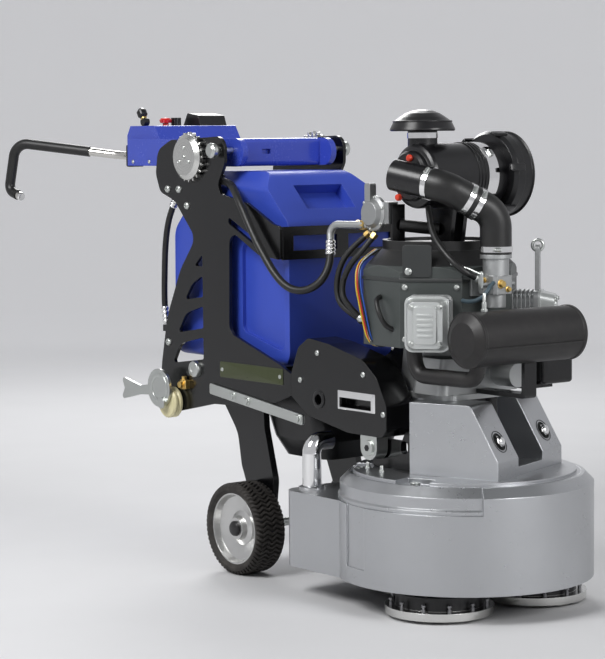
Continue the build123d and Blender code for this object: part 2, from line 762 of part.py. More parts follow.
def make_rain_cap():
    """Mushroom cap on the neck: a rolled brim under a shallow dome."""
    dome = [
        (0, NECK_TOP),
        (RAIN_R - 3, NECK_TOP),
        (RAIN_R, NECK_TOP + 3),
        (RAIN_R - 1, NECK_TOP + 7),
        (RAIN_R - 9, NECK_TOP + RAIN_BRIM),
        (RAIN_R - 13, NECK_TOP + RAIN_BRIM + 4),
        (RAIN_R - 25, NECK_TOP + RAIN_BRIM + 0.40 * RAIN_DOME),
        (RAIN_R - 40, NECK_TOP + RAIN_BRIM + 0.70 * RAIN_DOME),
        (RAIN_R - 56, NECK_TOP + RAIN_BRIM + 0.89 * RAIN_DOME),
        (RAIN_R - 72, NECK_TOP + RAIN_BRIM + 0.98 * RAIN_DOME),
        (0, NECK_TOP + RAIN_BRIM + RAIN_DOME),
    ]
    return Pos(NECK_X, NECK_Y, 0) * revolved(dome)


def make_clamps():
    """Steel bands: two on the intake hose's straight ends, one round the cleaner, one on the neck."""
    start = Vector(*HOSE_ROUTE[0])
    along = (Vector(*HOSE_ROUTE[1]) - start).normalized()
    ring = extrude(Circle(HOSE_R + CLAMP_THICK) - Circle(HOSE_R), CLAMP_WIDTH)
    first = Plane(origin=start + along * 6, z_dir=along) * ring
    second = Pos(CARB_X, CARB_Y, CARB_TOP + 6) * ring
    band = rod(CLEANER_X, CLEANER_Z, CLEANER_R + CLAMP_THICK, BAND_Y, BAND_Y + BAND_WIDTH)
    band = band - rod(CLEANER_X, CLEANER_Z, CLEANER_R, BAND_Y, BAND_Y + BAND_WIDTH)
    neck_ring = Circle(NECK_R + CLAMP_THICK) - Circle(NECK_R)
    neck_band = Pos(NECK_X, NECK_Y, NECK_TOP - CLAMP_WIDTH - 4) * extrude(neck_ring, CLAMP_WIDTH)
    return [first, second, band, neck_band]


def make_engine_brackets():
    """Muffler strut, cleaner saddle, regulator stand, battery box with its tray."""
    low = MOUNT_TOP + BASE_THICK
    under = MUFFLER_Z - MUFFLER_BODY_R - SEAT
    strut_rear = SUMP_X + SUMP_LENGTH / 2 + SEAT
    strut = prism(
        [
            (strut_rear, low, 0),
            (MUFFLER_X + 6, low, 10),
            (MUFFLER_X + 6, under, 0),
            (MUFFLER_X - 6, under, 0),
            (MUFFLER_X - 6, low + 12, 6),
            (strut_rear, low + 12, 0),
        ],
        -20,
        20,
    )
    saddle_top = CLEANER_Z - CLEANER_R - SEAT
    saddle = prism(
        [
            (CLEANER_X - 34, FAN_RING_TOP - FAN_DISH, 0),
            (CLEANER_X + 34, FAN_RING_TOP - FAN_DISH, 0),
            (CLEANER_X + 50, saddle_top, 6),
            (CLEANER_X - 50, saddle_top, 6),
        ],
        -26,
        -14,
    )
    saddle = saddle + other_side(saddle)
    stand = slab(STAND_X, STAND_X + STAND_THICK, -130, -88, FAN_RING_TOP - FAN_DISH, REGULATOR_Z + 24)
    tray = slab(BATTERY_X - 50, BATTERY_X + 50, SUMP_HALF + SEAT, BATTERY_Y, MOUNT_TOP + BASE_THICK, BATTERY_LOW)
    box = Pos(BATTERY_X, BATTERY_Y, BATTERY_LOW) * extrude(RectangleRounded(BATTERY_LONG, BATTERY_WIDE, 14), BATTERY_HIGH)
    box = fillet(box.edges().group_by(Axis.Z)[-1] + box.edges().group_by(Axis.Z)[0], 10)
    return [strut, *saddle.solids(), stand, tray + box]


def make_regulator():
    """Gas regulator: round diaphragm housing with a clamp ring, a valve block, a tower and the inlet elbow."""
    depth = REGULATOR_BACK - REGULATOR_FACE
    face = [
        (0, REGULATOR_FACE),
        (REGULATOR_R - 16, REGULATOR_FACE),
        (REGULATOR_R - 8, REGULATOR_FACE + 12),
        (REGULATOR_R, REGULATOR_FACE + 16),
        (REGULATOR_R, REGULATOR_FACE + 26),
        (REGULATOR_R - 8, REGULATOR_FACE + 30),
        (REGULATOR_R - 14, REGULATOR_BACK),
        (0, REGULATOR_BACK),
    ]
    housing = Pos(REGULATOR_X, 0, REGULATOR_Z) * turned_y(face)
    block = slab(
        REGULATOR_X, STAND_X, REGULATOR_FACE + 18, REGULATOR_BACK, REGULATOR_Z - 26, REGULATOR_Z + 30
    )
    tower = prism(
        [
            (REGULATOR_X - 20, REGULATOR_Z, 0),
            (REGULATOR_X + 2, REGULATOR_Z, 0),
            (REGULATOR_X + 2, REGULATOR_Z + 78, 6),
            (REGULATOR_X - 20, REGULATOR_Z + 78, 6),
        ],
        REGULATOR_FACE + 4,
        REGULATOR_FACE + depth / 2,
    )
    inlet = tube(INLET_ROUTE, [24], 10)
    return housing + block + tower + inlet


FUEL_ROUTES = [
    [
        (-225, -132, REGULATOR_Z - 55),
        (-262, -158, 912),
        (-287, -178, 864),
        (-293, -186, 800),
        (-268, -184, 752),
        (-216, -153, 722),
    ],
    [
        (-190, -140, REGULATOR_Z - 57),
        (-206, -164, 908),
        (-240, -184, 868),
        (-262, -192, 816),
        (-246, -196, 770),
        (-205, -164, 724),
    ],
    [
        (-27, -96, 1022.9),
        (-16, -102, 992),
        (8, -114, 958),
        (44, -122, 926),
        (82, -122, 896),
        (108, -111, 872),
        (123, -88, 853),
        (128, -58, 842),
    ],
]
FUEL_R = 8
GAS_R = 10.5
GAS_ROUTE = [
    (-346, -160, 930),
    (-338, -166, 893),
    (-334, -178, 853),
    (-346, -196, 819),
    (-376, -214, 798),
    (-415, -229, 796),
    (-452, -238, 812),
    (-490, -241, 843),
    (-530, -241, 884),
    (-572, -240, 930),
    (-614, -238, 985),
    (-655, -232, 1032),
    (-696, -218, 1060),
    (-742, -196, 1076),
    (-790, -190, 1082),
]
INLET_Z = REGULATOR_Z - 32
GAS_START = Vector(*GAS_ROUTE[0])
GAS_RUN = GAS_START - Vector(*GAS_ROUTE[1])
INLET_CORNER = GAS_START + GAS_RUN * ((INLET_Z - GAS_START.Z) / GAS_RUN.Z)
INLET_ROUTE = [(REGULATOR_X - 30, -130, INLET_Z), INLET_CORNER, GAS_START]
DROP_R = 9
DROP_ROUTE = [
    (-1003, -195, 1034),
    (-1030, -196, 996),
    (-1052, -196, 948),
    (-1064, -196, 888),
    (-1070, -195, 820),
    (-1073, -195, 756),
    (-1071, -195, 704),
    (-1063, -195, 668),
]


def plate_outline():
    """Outline of a side plate, clockwise from the rear lobe: x, z and corner radius."""
    return [
        (-1078, 1100, 40),
        (-1066, 1168, 40),
        (-1000, 1196, 60),
        (-742, 1206, 36),
        (-742, 1128, 34),
        (-776, 1072, 30),
        (-762, 1046, 20),
        (-640, 1024, 20),
        (-527, 970, 20),
        (-492, 962, 14),
        (-492, 873, 10),
        (-590, 884, 20),
        (-722, 950, 26),
        (-728, 664, 34),
        (-500, 592, 14),
        (-450, 570, 0),
        (-450, 512, 0),
        (-520, 486, 16),
        (-640, 464, 30),
        (-804, 458, 40),
        (-985, 420, 26),
        (-1070, 446, 30),
        (-1060, 556, 200),
        (-1030, 690, 300),
        (-960, 830, 200),
        (-884, 920, 34),
        (-984, 1024, 30),
        (-1056, 1048, 30),
    ]


def make_side_plate():
    """Laser-cut side plate: rear louvres, a slot in the upper arm, holes for the tilt stub and the lock pin."""
    plate = prism(plate_outline(), -PLATE_IN - PLATE_THICK, -PLATE_IN)
    louvres = [
        [(-852, 876, 4), (-852, 842, 4), (-892, 842, 4)],
        [(-852, 816, 6), (-852, 756, 6), (-940, 744, 6), (-902, 792, 60)],
        [(-852, 730, 6), (-852, 668, 6), (-976, 648, 6), (-936, 706, 60)],
        [(-852, 642, 6), (-852, 580, 6), (-1002, 560, 6), (-966, 618, 60)],
    ]
    for louvre in louvres:
        plate = plate - prism(louvre, -PLATE_IN - PLATE_THICK, -PLATE_IN)
    arm_slot = [(-726, 984, 6), (-610, 930, 6), (-596, 906, 6), (-726, 966, 6)]
    plate = plate - prism(arm_slot, -PLATE_IN - PLATE_THICK, -PLATE_IN)
    plate = plate - rod(TILT_X, TILT_Z, STUB_R + RUN, -PLATE_IN - PLATE_THICK, -PLATE_IN)
    plate = plate - rod(LOCK_X, LOCK_Z, LOCK_PIN_R + RUN, -PLATE_IN - PLATE_THICK, -PLATE_IN)
    return plate - rod(PEDAL_X, PEDAL_Z, PEDAL_PIN_R, -PLATE_IN - PLATE_THICK, -PLATE_IN)


def make_hinge_cover():
    """Box-shaped front arm with a framed window, a round port, and a tongue behind the side plate."""
    out = PLATE_IN + PLATE_THICK
    body = prism(
        [
            (-449, 512, 0),
            (-449, 571, 10),
            (-417, 645, 24),
            (-374, 672, 24),
            (-289, 662, 60),
            (-150, 630, 50),
            (-92, 586, 50),
            (-55, 518, 40),
            (-56, 456, 14),
            (-74, COVER_BOTTOM, 12),
            (-209, COVER_BOTTOM, 10),
            (-377, 466, 20),
        ],
        -out,
        -COVER_INNER,
    )
    tongue = slab(-560, -449, -PLATE_IN, -PLATE_IN + 40, 512, 566)
    window = prism([(-250, 495, 3), (-98, 495, 3), (-98, 545, 3), (-250, 545, 3)], -out, -out + 30)
    port = rod(-330, 512, 17, -out, -out + 30)
    return body + tongue - window - port


def make_clevis():
    """Forged lug under the hinge cover, bored for the hinge pin."""
    lug = rod(PIVOT_X, PIVOT_Z, LUG_R, -CLEVIS_OUT, -CLEVIS_IN)
    stem = slab(PIVOT_X - LUG_R, PIVOT_X + LUG_R, -CLEVIS_OUT, -CLEVIS_IN, PIVOT_Z, COVER_BOTTOM)
    return lug + stem - rod(PIVOT_X, PIVOT_Z, PIVOT_PIN_R, -CLEVIS_OUT, -CLEVIS_IN)


def make_hinge_pin():
    """Headed pin through the clevis and the head's bracket."""
    pin = rod(PIVOT_X, PIVOT_Z, PIVOT_PIN_R, -CLEVIS_OUT, -BRACKET_IN + 10)
    return pin + rod(PIVOT_X, PIVOT_Z, PIVOT_PIN_R + 6, -CLEVIS_OUT - 6, -CLEVIS_OUT)


def make_tank():
    """Moulded water tank: sloped front with a hand recess, sloped rear, broken shoulders, sunk side panels."""
    half = PLATE_IN - TANK_GAP
    tank = prism(
        [
            (TANK_FRONT, TANK_BOTTOM, 40),
            (TANK_FRONT, 968, 40),
            (-640, TANK_TOP, 60),
            (-872, TANK_TOP, 30),
            (-1036, 940, 60),
            (-1040, TANK_BOTTOM, 40),
        ],
        -half,
        half,
    )
    shoulder = half - TANK_SHOULDER
    across = FilletPolyline(
        (-half, TANK_BOTTOM),
        (half, TANK_BOTTOM),
        (half, TANK_TOP - TANK_SHOULDER),
        (shoulder, TANK_TOP),
        (-shoulder, TANK_TOP),
        (-half, TANK_TOP - TANK_SHOULDER),
        radius=[TANK_EDGE, TANK_EDGE, TANK_EDGE, 0, 0, TANK_EDGE],
        close=True,
    )
    reach = 2 * abs(TANK_FRONT)
    tank = tank & extrude(Plane.YZ.offset(-2 * reach) * make_face(across.edges()), 2 * reach)
    panel = prism(
        [(-712, 668, 24), (-520, 618, 24), (-520, 872, 24), (-592, 872, 24), (-712, 926, 24)],
        -half,
        -half + TANK_PANEL,
    )
    recess = Pos(-570, 0, 1038) * Rot(0, 45, 0) * Box(90, 170, 70)
    return tank - panel - other_side(panel) - recess


def make_tank_band():
    """Strap across the tank's front between the two side plates, with two long slots."""
    front = TANK_FRONT + BAND_THICK
    band = slab(TANK_FRONT, front, -PLATE_IN, PLATE_IN, 873, 962)
    slot = Pos((TANK_FRONT + front) / 2, 0, 917) * Box(2 * BAND_THICK, 150, 40)
    return band - Pos(0, 95, 0) * slot - Pos(0, -95, 0) * slot


def make_cross_members():
    """Square tube over the legs, round bar at the rear, left roller's stub, blocks where hoses end."""
    square = Pos(TUBE_X, 0, TUBE_Z) * Rot(90, 0, 0) * extrude(
        Rectangle(TUBE_SIZE, TUBE_SIZE) - Rectangle(TUBE_SIZE - 10, TUBE_SIZE - 10), PLATE_IN, both=True
    )
    rear_bar = rod(REAR_BAR_X, REAR_BAR_Z, REAR_BAR_R, -PLATE_IN, PLATE_IN)
    stub_end = PLATE_IN + PLATE_THICK + SEAT + 2 * ROLLER_GAP + ROLLER_WIDTH
    stub = rod(PEDAL_X, PEDAL_Z, PEDAL_PIN_R - RUN, PLATE_IN - 4, stub_end)
    stub = stub + rod(PEDAL_X, PEDAL_Z, ROLLER_COLLAR_R, stub_end, stub_end + 6)
    gas = Vector(*GAS_ROUTE[-1])
    gas_block = slab(gas.X - 43, gas.X - 3, -PLATE_IN, gas.Y + 14, gas.Z - 12, gas.Z + 16)
    top = Vector(*DROP_ROUTE[0])
    top_block = slab(top.X - 6, top.X + 26, -PLATE_IN, top.Y + 14, top.Z + 5, top.Z + 26)
    end = Vector(*DROP_ROUTE[-1])
    end_block = slab(end.X - 4, end.X + 56, -PLATE_IN, end.Y + 13, end.Z - 22, end.Z - 3)
    return [square, rear_bar, stub, gas_block, top_block, end_block]


def make_wheel_leg():
    """Curved leg from the square tube down to the axle."""
    top = TUBE_Z - TUBE_SIZE / 2
    leg = prism(
        [
            (TUBE_X - 156, top, 0),
            (TUBE_X + 64, top, 0),
            (TUBE_X + 70, 400, 60),
            (AXLE_X + 60, TYRE_R + 130, 60),
            (AXLE_X + 36, TYRE_R - 36, 34),
            (AXLE_X - 36, TYRE_R - 36, 34),
            (AXLE_X - 52, TYRE_R + 80, 60),
            (AXLE_X - 88, TYRE_R + 160, 40),
            (AXLE_X - 104, TYRE_R + 250, 90),
        ],
        -LEG_OUT,
        -LEG_OUT + LEG_THICK,
    )
    return leg - rod(AXLE_X, TYRE_R, AXLE_R, -LEG_OUT, -LEG_OUT + LEG_THICK)


def make_belly_pan():
    """Moulded pan between the wheel legs, behind the dust port."""
    half = LEG_OUT - LEG_THICK - 2
    low = Pos(-520, 0, 330) * RectangleRounded(200, 2 * half - 40, 40)
    middle = Pos(-530, 0, 380) * RectangleRounded(250, 2 * half, 50)
    high = Pos(-578, 0, TUBE_Z - TUBE_SIZE / 2) * RectangleRounded(264, 2 * half, 40)
    return loft([low, middle, high], ruled=True)


wheel_in = LEG_OUT + WHEEL_SIDE
wheel_mid = wheel_in + TYRE_WIDTH / 2
axle_end = wheel_in + TYRE_WIDTH - 8


def make_tyre():
    """Low turf tyre: rounded shoulders, straight beads."""
    half = TYRE_WIDTH / 2
    outline = FilletPolyline(
        (RIM_R, 0, -half + 8),
        (RIM_R + 10, 0, -half),
        (TYRE_R, 0, -half),
        (TYRE_R, 0, half),
        (RIM_R + 10, 0, half),
        (RIM_R, 0, half - 8),
        radius=[0, 3, TYRE_ROUND, TYRE_ROUND, 3, 0],
        close=True,
    )
    tyre = revolve(make_face(outline.edges()), Axis.Z)
    return Pos(AXLE_X, -wheel_mid, TYRE_R) * Rot(90, 0, 0) * tyre


def make_rim():
    """Cast rim: barrel, dished disc and hub with a running bore; local +Z is the outer side."""
    half = TYRE_WIDTH / 2 - 8
    outline = [
        (AXLE_R + RUN, -half + 14),
        (HUB_R, -half + 14),
        (HUB_R, half - RIM_DISH - 16),
        (RIM_R - 10, half - RIM_DISH - 6),
        (RIM_R - 8, -half),
        (RIM_R, -half),
        (RIM_R, half),
        (RIM_R - 4, half),
        (RIM_R - 10, half - RIM_DISH + 8),
        (HUB_R + 14, half - RIM_DISH - 2),
        (HUB_R, half - RIM_DISH + 4),
        (HUB_R - 4, half - 6),
        (AXLE_R + RUN, half - 6),
    ]
    return Pos(AXLE_X, -wheel_mid, TYRE_R) * Rot(90, 0, 0) * revolved(outline)


def make_yoke():
    """Handle frame: two side arms with round noses, a box beam between them and the tilt stubs."""
    middle = (ARM_TOP + ARM_BOTTOM) / 2
    round_nose = (ARM_TOP - ARM_BOTTOM) / 2 - 1
    arm = prism(
        [
            (ARM_REAR, ARM_BOTTOM, 0),
            (ARM_FRONT, ARM_BOTTOM, round_nose),
            (ARM_FRONT, ARM_TOP, round_nose),
            (ARM_REAR, ARM_TOP, 0),
        ],
        -ARM_OUT,
        -ARM_OUT + ARM_THICK,
    )
    stub = rod(TILT_X, TILT_Z, STUB_R, -PLATE_IN - PLATE_THICK - SEAT, -ARM_OUT)
    inner = ARM_OUT - ARM_THICK
    beam = prism(
        [
            (BEAM_REAR, ARM_BOTTOM, 8),
            (BEAM_FRONT, ARM_BOTTOM, 14),
            (BEAM_FRONT, ARM_TOP, 14),
            (BEAM_REAR, ARM_TOP, 8),
        ],
        -inner,
        inner,
    )
    slot = Pos(BEAM_FRONT, -45, middle + 2) * Box(24, 30, 14)
    return arm + other_side(arm) + stub + other_side(stub) + beam - slot


def make_console():
    """Folded control box between the arms: sloped front, bevelled top edges."""
    inner = ARM_OUT - ARM_THICK
    box = prism(
        [
            (CONSOLE_REAR, ARM_BOTTOM, 4),
            (CONSOLE_FRONT, ARM_BOTTOM, 4),
            (CONSOLE_FRONT, CONSOLE_TOP - CONSOLE_BEVEL, 4),
            (CONSOLE_FRONT - 26, CONSOLE_TOP, 6),
            (CONSOLE_REAR + 17, CONSOLE_TOP, 4),
            (CONSOLE_REAR, CONSOLE_TOP - 28, 4),
        ],
        -inner,
        inner,
    )
    return box - post(CONTROL_X, STOP_Y, STOP_STEM_R + RUN, CONSOLE_TOP - STOP_WELL, CONSOLE_TOP)


def make_index_disc():
    """Turned cap on the tilt stub, with a toothed wheel behind it."""
    out = PLATE_IN + PLATE_THICK + SEAT
    wheel = toothed(INDEX_TEETH, 2 * INDEX_R / INDEX_TEETH, INDEX_THICK, 0, 2)
    wheel = Pos(TILT_X, -out, TILT_Z) * Rot(90, 0, 0) * wheel
    face = turned_y(
        [
            (0, -out - INDEX_THICK - INDEX_FACE),
            (INDEX_R - 12, -out - INDEX_THICK - INDEX_FACE),
            (INDEX_R, -out - INDEX_THICK - 6),
            (INDEX_R, -out - INDEX_THICK),
            (0, -out - INDEX_THICK),
        ]
    )
    return wheel + Pos(TILT_X, 0, TILT_Z) * face


def make_lock_knob():
    """Pull knob with a plain plunger through the side plate."""
    out = PLATE_IN + PLATE_THICK
    pin = rod(LOCK_X, LOCK_Z, LOCK_PIN_R, -out - LOCK_KNOB / 2, -ARM_OUT - LOCK_TIP_GAP)
    knob = turned_y(
        [
            (0, -out - LOCK_KNOB),
            (LOCK_KNOB_R - 6, -out - LOCK_KNOB),
            (LOCK_KNOB_R, -out - LOCK_KNOB + 6),
            (LOCK_KNOB_R, -out - 12),
            (LOCK_KNOB_R - 7, -out - 4),
            (LOCK_KNOB_R - 7, -out - SEAT),
            (0, -out - SEAT),
        ]
    )
    return pin + Pos(LOCK_X, 0, LOCK_Z) * knob


def make_display():
    """Hooded display on the console's top."""
    hood = prism(
        [
            (CONSOLE_REAR + 30, CONSOLE_TOP, 0),
            (CONSOLE_REAR + 120, CONSOLE_TOP, 0),
            (CONSOLE_REAR + 108, CONSOLE_TOP + 30, 5),
            (CONSOLE_REAR + 52, CONSOLE_TOP + 38, 5),
        ],
        36,
        132,
    )
    screen = prism(
        [
            (CONSOLE_REAR + 32, CONSOLE_TOP + 8, 0),
            (CONSOLE_REAR + 40, CONSOLE_TOP + 4, 0),
            (CONSOLE_REAR + 56, CONSOLE_TOP + 32, 0),
            (CONSOLE_REAR + 44, CONSOLE_TOP + 34, 0),
        ],
        48,
        120,
    )
    return hood - screen


LEVER_Y = -104
LEVER_BOSS_R = 12
LEVER_Z = CONSOLE_TOP + LEVER_BOSS_R + SEAT


def make_throttle_lever():
    """Lever on a cross pivot: boss, slim stem leaning to the rear, ball knob."""
    boss = rod(CONTROL_X, LEVER_Z, LEVER_BOSS_R, LEVER_Y - 9, LEVER_Y + 9)
    top = Vector(CONTROL_X - 16, LEVER_Y, LEVER_Z + 26)
    foot = Vector(CONTROL_X, LEVER_Y, LEVER_Z)
    along = (top - foot).normalized()
    stem = Plane(origin=foot, z_dir=along) * extrude(Circle(6), (top - foot).length)
    knob = [(0, -16), (9, -16), (15, -8), (15, 6), (8, 14), (0, 14)]
    return boss + stem + Plane(origin=top, z_dir=along) * revolved(knob)


def make_stop_button():
    """Mushroom stop button whose stem runs in a well in the console's top."""
    low = STOP_TRAVEL + 2
    mushroom = [
        (0, -STOP_WELL + low),
        (STOP_STEM_R, -STOP_WELL + low),
        (STOP_STEM_R, low),
        (17, low + 2),
        (19, low + 10),
        (14, low + 16),
        (0, low + 18),
    ]
    return Pos(CONTROL_X, STOP_Y, CONSOLE_TOP) * revolved(mushroom)


def make_speed_knob():
    """Fluted rotary knob."""
    body = extrude(Circle(15), 24)
    flute = Cylinder(3, 60)
    for i in range(8):
        body = body - Rot(0, 0, 45 * i) * Pos(16.5, 0, 0) * flute
    return Pos(CONTROL_X, 8, CONSOLE_TOP + SEAT) * body


def make_pedal():
    """Foot lever outside the right roller: its pin carries the roller; round plate, fishtail tread and bolt head."""
    low = -(PLATE_IN + PLATE_THICK + SEAT + 2 * ROLLER_GAP + ROLLER_WIDTH + PEDAL_THICK)
    high = low + PEDAL_THICK
    pin = rod(PEDAL_X, PEDAL_Z, PEDAL_PIN_R - RUN, low, -PLATE_IN + 4)
    disc = rod(PEDAL_X - 23, PEDAL_Z + 41, PEDAL_DISC_R, low, high)
    web = prism(
        [
            (PEDAL_X - 44, PEDAL_Z + 20, 0),
            (PEDAL_X - 44, PEDAL_Z + 52, 0),
            (PEDAL_X - 118, PEDAL_Z + 40, 20),
            (PEDAL_X - 213, PEDAL_Z + 60, 8),
            (PEDAL_X - 198, PEDAL_Z + 26, 6),
            (PEDAL_X - 217, PEDAL_Z - 8, 8),
            (PEDAL_X - 118, PEDAL_Z + 14, 20),
        ],
        low,
        high,
    )
    head = rod(PEDAL_X, PEDAL_Z, 2 * PEDAL_PIN_R, low - PEDAL_THICK, low)
    return pin + disc + web + head


def make_rollers():
    """Two grooved nylon rollers outside the side plates' rear corners."""
    rollers = []
    near = PLATE_IN + PLATE_THICK + SEAT + ROLLER_GAP
    for side in (-1, 1):
        middle = side * (near + ROLLER_WIDTH / 2)
        outline = [
            (PEDAL_PIN_R + RUN, middle - ROLLER_WIDTH / 2),
            (ROLLER_R - 4, middle - ROLLER_WIDTH / 2),
            (ROLLER_R, middle - ROLLER_WIDTH / 2 + 4),
            (ROLLER_R, middle - ROLLER_GROOVE),
            (ROLLER_R - ROLLER_GROOVE, middle),
            (ROLLER_R, middle + ROLLER_GROOVE),
            (ROLLER_R, middle + ROLLER_WIDTH / 2 - 4),
            (ROLLER_R - 4, middle + ROLLER_WIDTH / 2),
            (PEDAL_PIN_R + RUN, middle + ROLLER_WIDTH / 2),
        ]
        rollers.append(Pos(PEDAL_X, 0, PEDAL_Z) * turned_y(outline))
    return rollers


def make_link_bar():
    """Flat galvanised bar on the outside of the lower frame bar, running forward below it."""
    out = PLATE_IN + PLATE_THICK
    return prism([(-814, 487, 6), (-814, 517, 6), (-392, 466, 6), (-392, 438, 6)], -out - 8, -out)


def both_sides(solid):
    """A right-hand piece and its left-hand twin."""
    return [solid, other_side(solid)]


# Grinding head
save("shroud", make_shroud())
save("ring_casting", make_ring())
save("engine_mount", make_engine_mount())
save("dust_port", make_dust_port())
save("head_brackets", *both_sides(make_head_bracket()))
save("gear_case", make_gear_case())
sun = toothed(SUN_TEETH, MODULE, GEAR_WIDTH, SHAFT_R + 1, BACKLASH)
save("sun_gear", Pos(0, 0, GEAR_Z) * Rot(0, 0, FIRST_DISC_ANGLE) * sun)
save("carrier", make_carrier())
disc = make_disc()
tools = make_tools()
planet = toothed(PLANET_TEETH, MODULE, GEAR_WIDTH, SPINDLE_R, BACKLASH)
half_tooth = 180 / PLANET_TEETH
for number in range(DISC_COUNT):
    spot = Rot(0, 0, FIRST_DISC_ANGLE + 360 * number / DISC_COUNT) * Pos(ORBIT_R, 0, 0)
    save(f"disc_{number + 1}", spot * disc, *[spot * tool for tool in tools])
    save(f"planet_gear_{number + 1}", spot * Pos(0, 0, GEAR_Z) * Rot(0, 0, 180 + half_tooth) * planet)

# Engine
save("crankcase", make_crankcase())
save("blower_housing", make_blower())
save("cylinders", make_cylinder(-1), make_cylinder(1) + make_lifting_eye())
save("valve_covers", make_valve_cover(-1), make_valve_cover(1))
save("exhaust_pipe", make_exhaust_pipe())
save("muffler", make_muffler())
save("carburettor", make_carburettor())
save("air_cleaner_body", make_cleaner_body())
save("air_cleaner_cover", make_cleaner_cover())
save("rain_cap", make_rain_cap())
save("intake_hose", tube(HOSE_ROUTE, HOSE_BENDS, HOSE_R))
save("clamps", *make_clamps())
save("engine_brackets", *make_engine_brackets())
save("regulator", make_regulator())
save("fuel_hoses", *[hose("fuel hose", route, FUEL_R) for route in FUEL_ROUTES])

# Chassis
side_plate = make_side_plate()
save("side_plate_right", side_plate)
save("side_plate_left", other_side(side_plate))
save("cross_members", *make_cross_members())
save("tank", make_tank())
save("tank_band", make_tank_band())
save("hinge_covers", *both_sides(make_hinge_cover()))
save("hinge_clevises", *both_sides(make_clevis()))
save("hinge_pins", *both_sides(make_hinge_pin()))
save("wheel_legs", *both_sides(make_wheel_leg()))
save("axle", rod(AXLE_X, TYRE_R, AXLE_R, -axle_end, axle_end))
save("belly_pan", make_belly_pan())
save("link_bars", *both_sides(make_link_bar()))
save("gas_hose", hose("gas hose", GAS_ROUTE, GAS_R))
save("drop_hose", hose("drop hose", DROP_ROUTE, DROP_R))
save("foot_pedal", make_pedal())
save("rollers", *make_rollers())

# Wheels
tyre = make_tyre()
rim = make_rim()
save("tyre_right", tyre)
save("rim_right", rim)
save("tyre_left", other_side(tyre))
save("rim_left", other_side(rim))

# Handle
save("yoke", make_yoke())
save("console", make_console())
save("handlebars", *both_sides(handlebar))
save("grips", *both_sides(grip))
save("index_discs", *both_sides(make_index_disc()))
save("display", make_display())
save("throttle_lever", make_throttle_lever())
save("estop_button", make_stop_button())
save("speed_knob", make_speed_knob())
lock_knob = make_lock_knob()
save("lock_knob_right", lock_knob)
save("lock_knob_left", other_side(lock_knob))
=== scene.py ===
# %% [markdown]
# # A walk-behind floor grinder
# The CAD part brings every rigid shape. This lesson gives each surface a finish worked out from nodes, lays
# the hoses as smooth curves, and adds the small things a fitter would miss: bolts, tread, plates, wires and
# caps.

# %% Load the packed part
import bmesh
import bpy
import numpy as np
from mathutils import Matrix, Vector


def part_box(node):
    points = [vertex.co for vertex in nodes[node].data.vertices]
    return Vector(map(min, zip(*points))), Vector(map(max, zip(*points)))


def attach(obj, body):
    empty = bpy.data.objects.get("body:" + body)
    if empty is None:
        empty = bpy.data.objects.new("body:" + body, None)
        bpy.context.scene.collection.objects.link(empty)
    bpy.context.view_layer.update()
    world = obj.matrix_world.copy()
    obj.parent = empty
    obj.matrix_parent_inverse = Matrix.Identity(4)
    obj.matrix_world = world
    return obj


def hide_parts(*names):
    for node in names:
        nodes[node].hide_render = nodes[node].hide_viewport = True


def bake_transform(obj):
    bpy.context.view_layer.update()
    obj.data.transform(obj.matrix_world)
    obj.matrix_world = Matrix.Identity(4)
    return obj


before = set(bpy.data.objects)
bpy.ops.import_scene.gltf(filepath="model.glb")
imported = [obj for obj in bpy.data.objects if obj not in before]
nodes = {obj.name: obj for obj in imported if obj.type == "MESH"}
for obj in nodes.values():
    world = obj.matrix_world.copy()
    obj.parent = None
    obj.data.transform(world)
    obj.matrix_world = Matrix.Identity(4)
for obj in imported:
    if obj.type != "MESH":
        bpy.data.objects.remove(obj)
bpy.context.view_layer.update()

# %% [markdown]
# ## Where things are
# The drawings measure from the axis of the grinding head, in millimetres. The part's own frame is in metres
# and starts under the middle of the machine, so one small function turns drawing places into frame places.

# %% Drawing places to frame places
HEAD_X = 0.69548


def all_at(points):
    """Drawing millimetres from the head's axis, scaled to metres and moved forward by the head's place."""
    return np.asarray(points, float) / 1000 + (HEAD_X, 0, 0)


def at(x, y, z):
    """The same for one place."""
    return all_at((x, y, z))


print("the head's axis stands at", at(0, 0, 0))

# %% [markdown]
# ## The camera
# The picture looks at the machine's front right corner from a little above the engine. The lens is long,
# about 121 mm on a 36 mm frame, so the far handle hardly shrinks. The camera leans by half a degree.

# %% Set the camera
FOCAL_PIXELS, PICTURE_HIGH, SENSOR_HIGH = 2217.6, 659, 36
eye = at(4222.4, -3815.2, 1203.9)
turn, dip, lean = np.radians(52.08), 0.087, 0.009
ahead = np.array((-np.sin(turn) * np.cos(dip), np.cos(turn) * np.cos(dip), -np.sin(dip)))
right = np.array((np.cos(turn), np.sin(turn), 0.0))
above = np.cross(right, ahead)
camera = bpy.data.objects.new("camera", bpy.data.cameras.new("camera"))
camera.data.sensor_fit = "VERTICAL"
camera.data.sensor_height = SENSOR_HIGH
camera.data.lens = FOCAL_PIXELS / PICTURE_HIGH * SENSOR_HIGH
pose = np.eye(4)
pose[:3, 0] = right * np.cos(lean) - above * np.sin(lean)
pose[:3, 1] = above * np.cos(lean) + right * np.sin(lean)
pose[:3, 2] = -ahead
pose[:3, 3] = eye
camera.matrix_world = Matrix(pose)
bpy.context.scene.collection.objects.link(camera)
bpy.context.scene.camera = camera
print("camera at", np.round(eye, 2), "with a lens of", round(camera.data.lens, 1), "mm")

# %% [markdown]
# ## Writing finishes as sums
# A finish is a tree of nodes. Wiring nodes by hand is slow to read, so a socket is wrapped in a small class
# whose operators add the Math nodes.

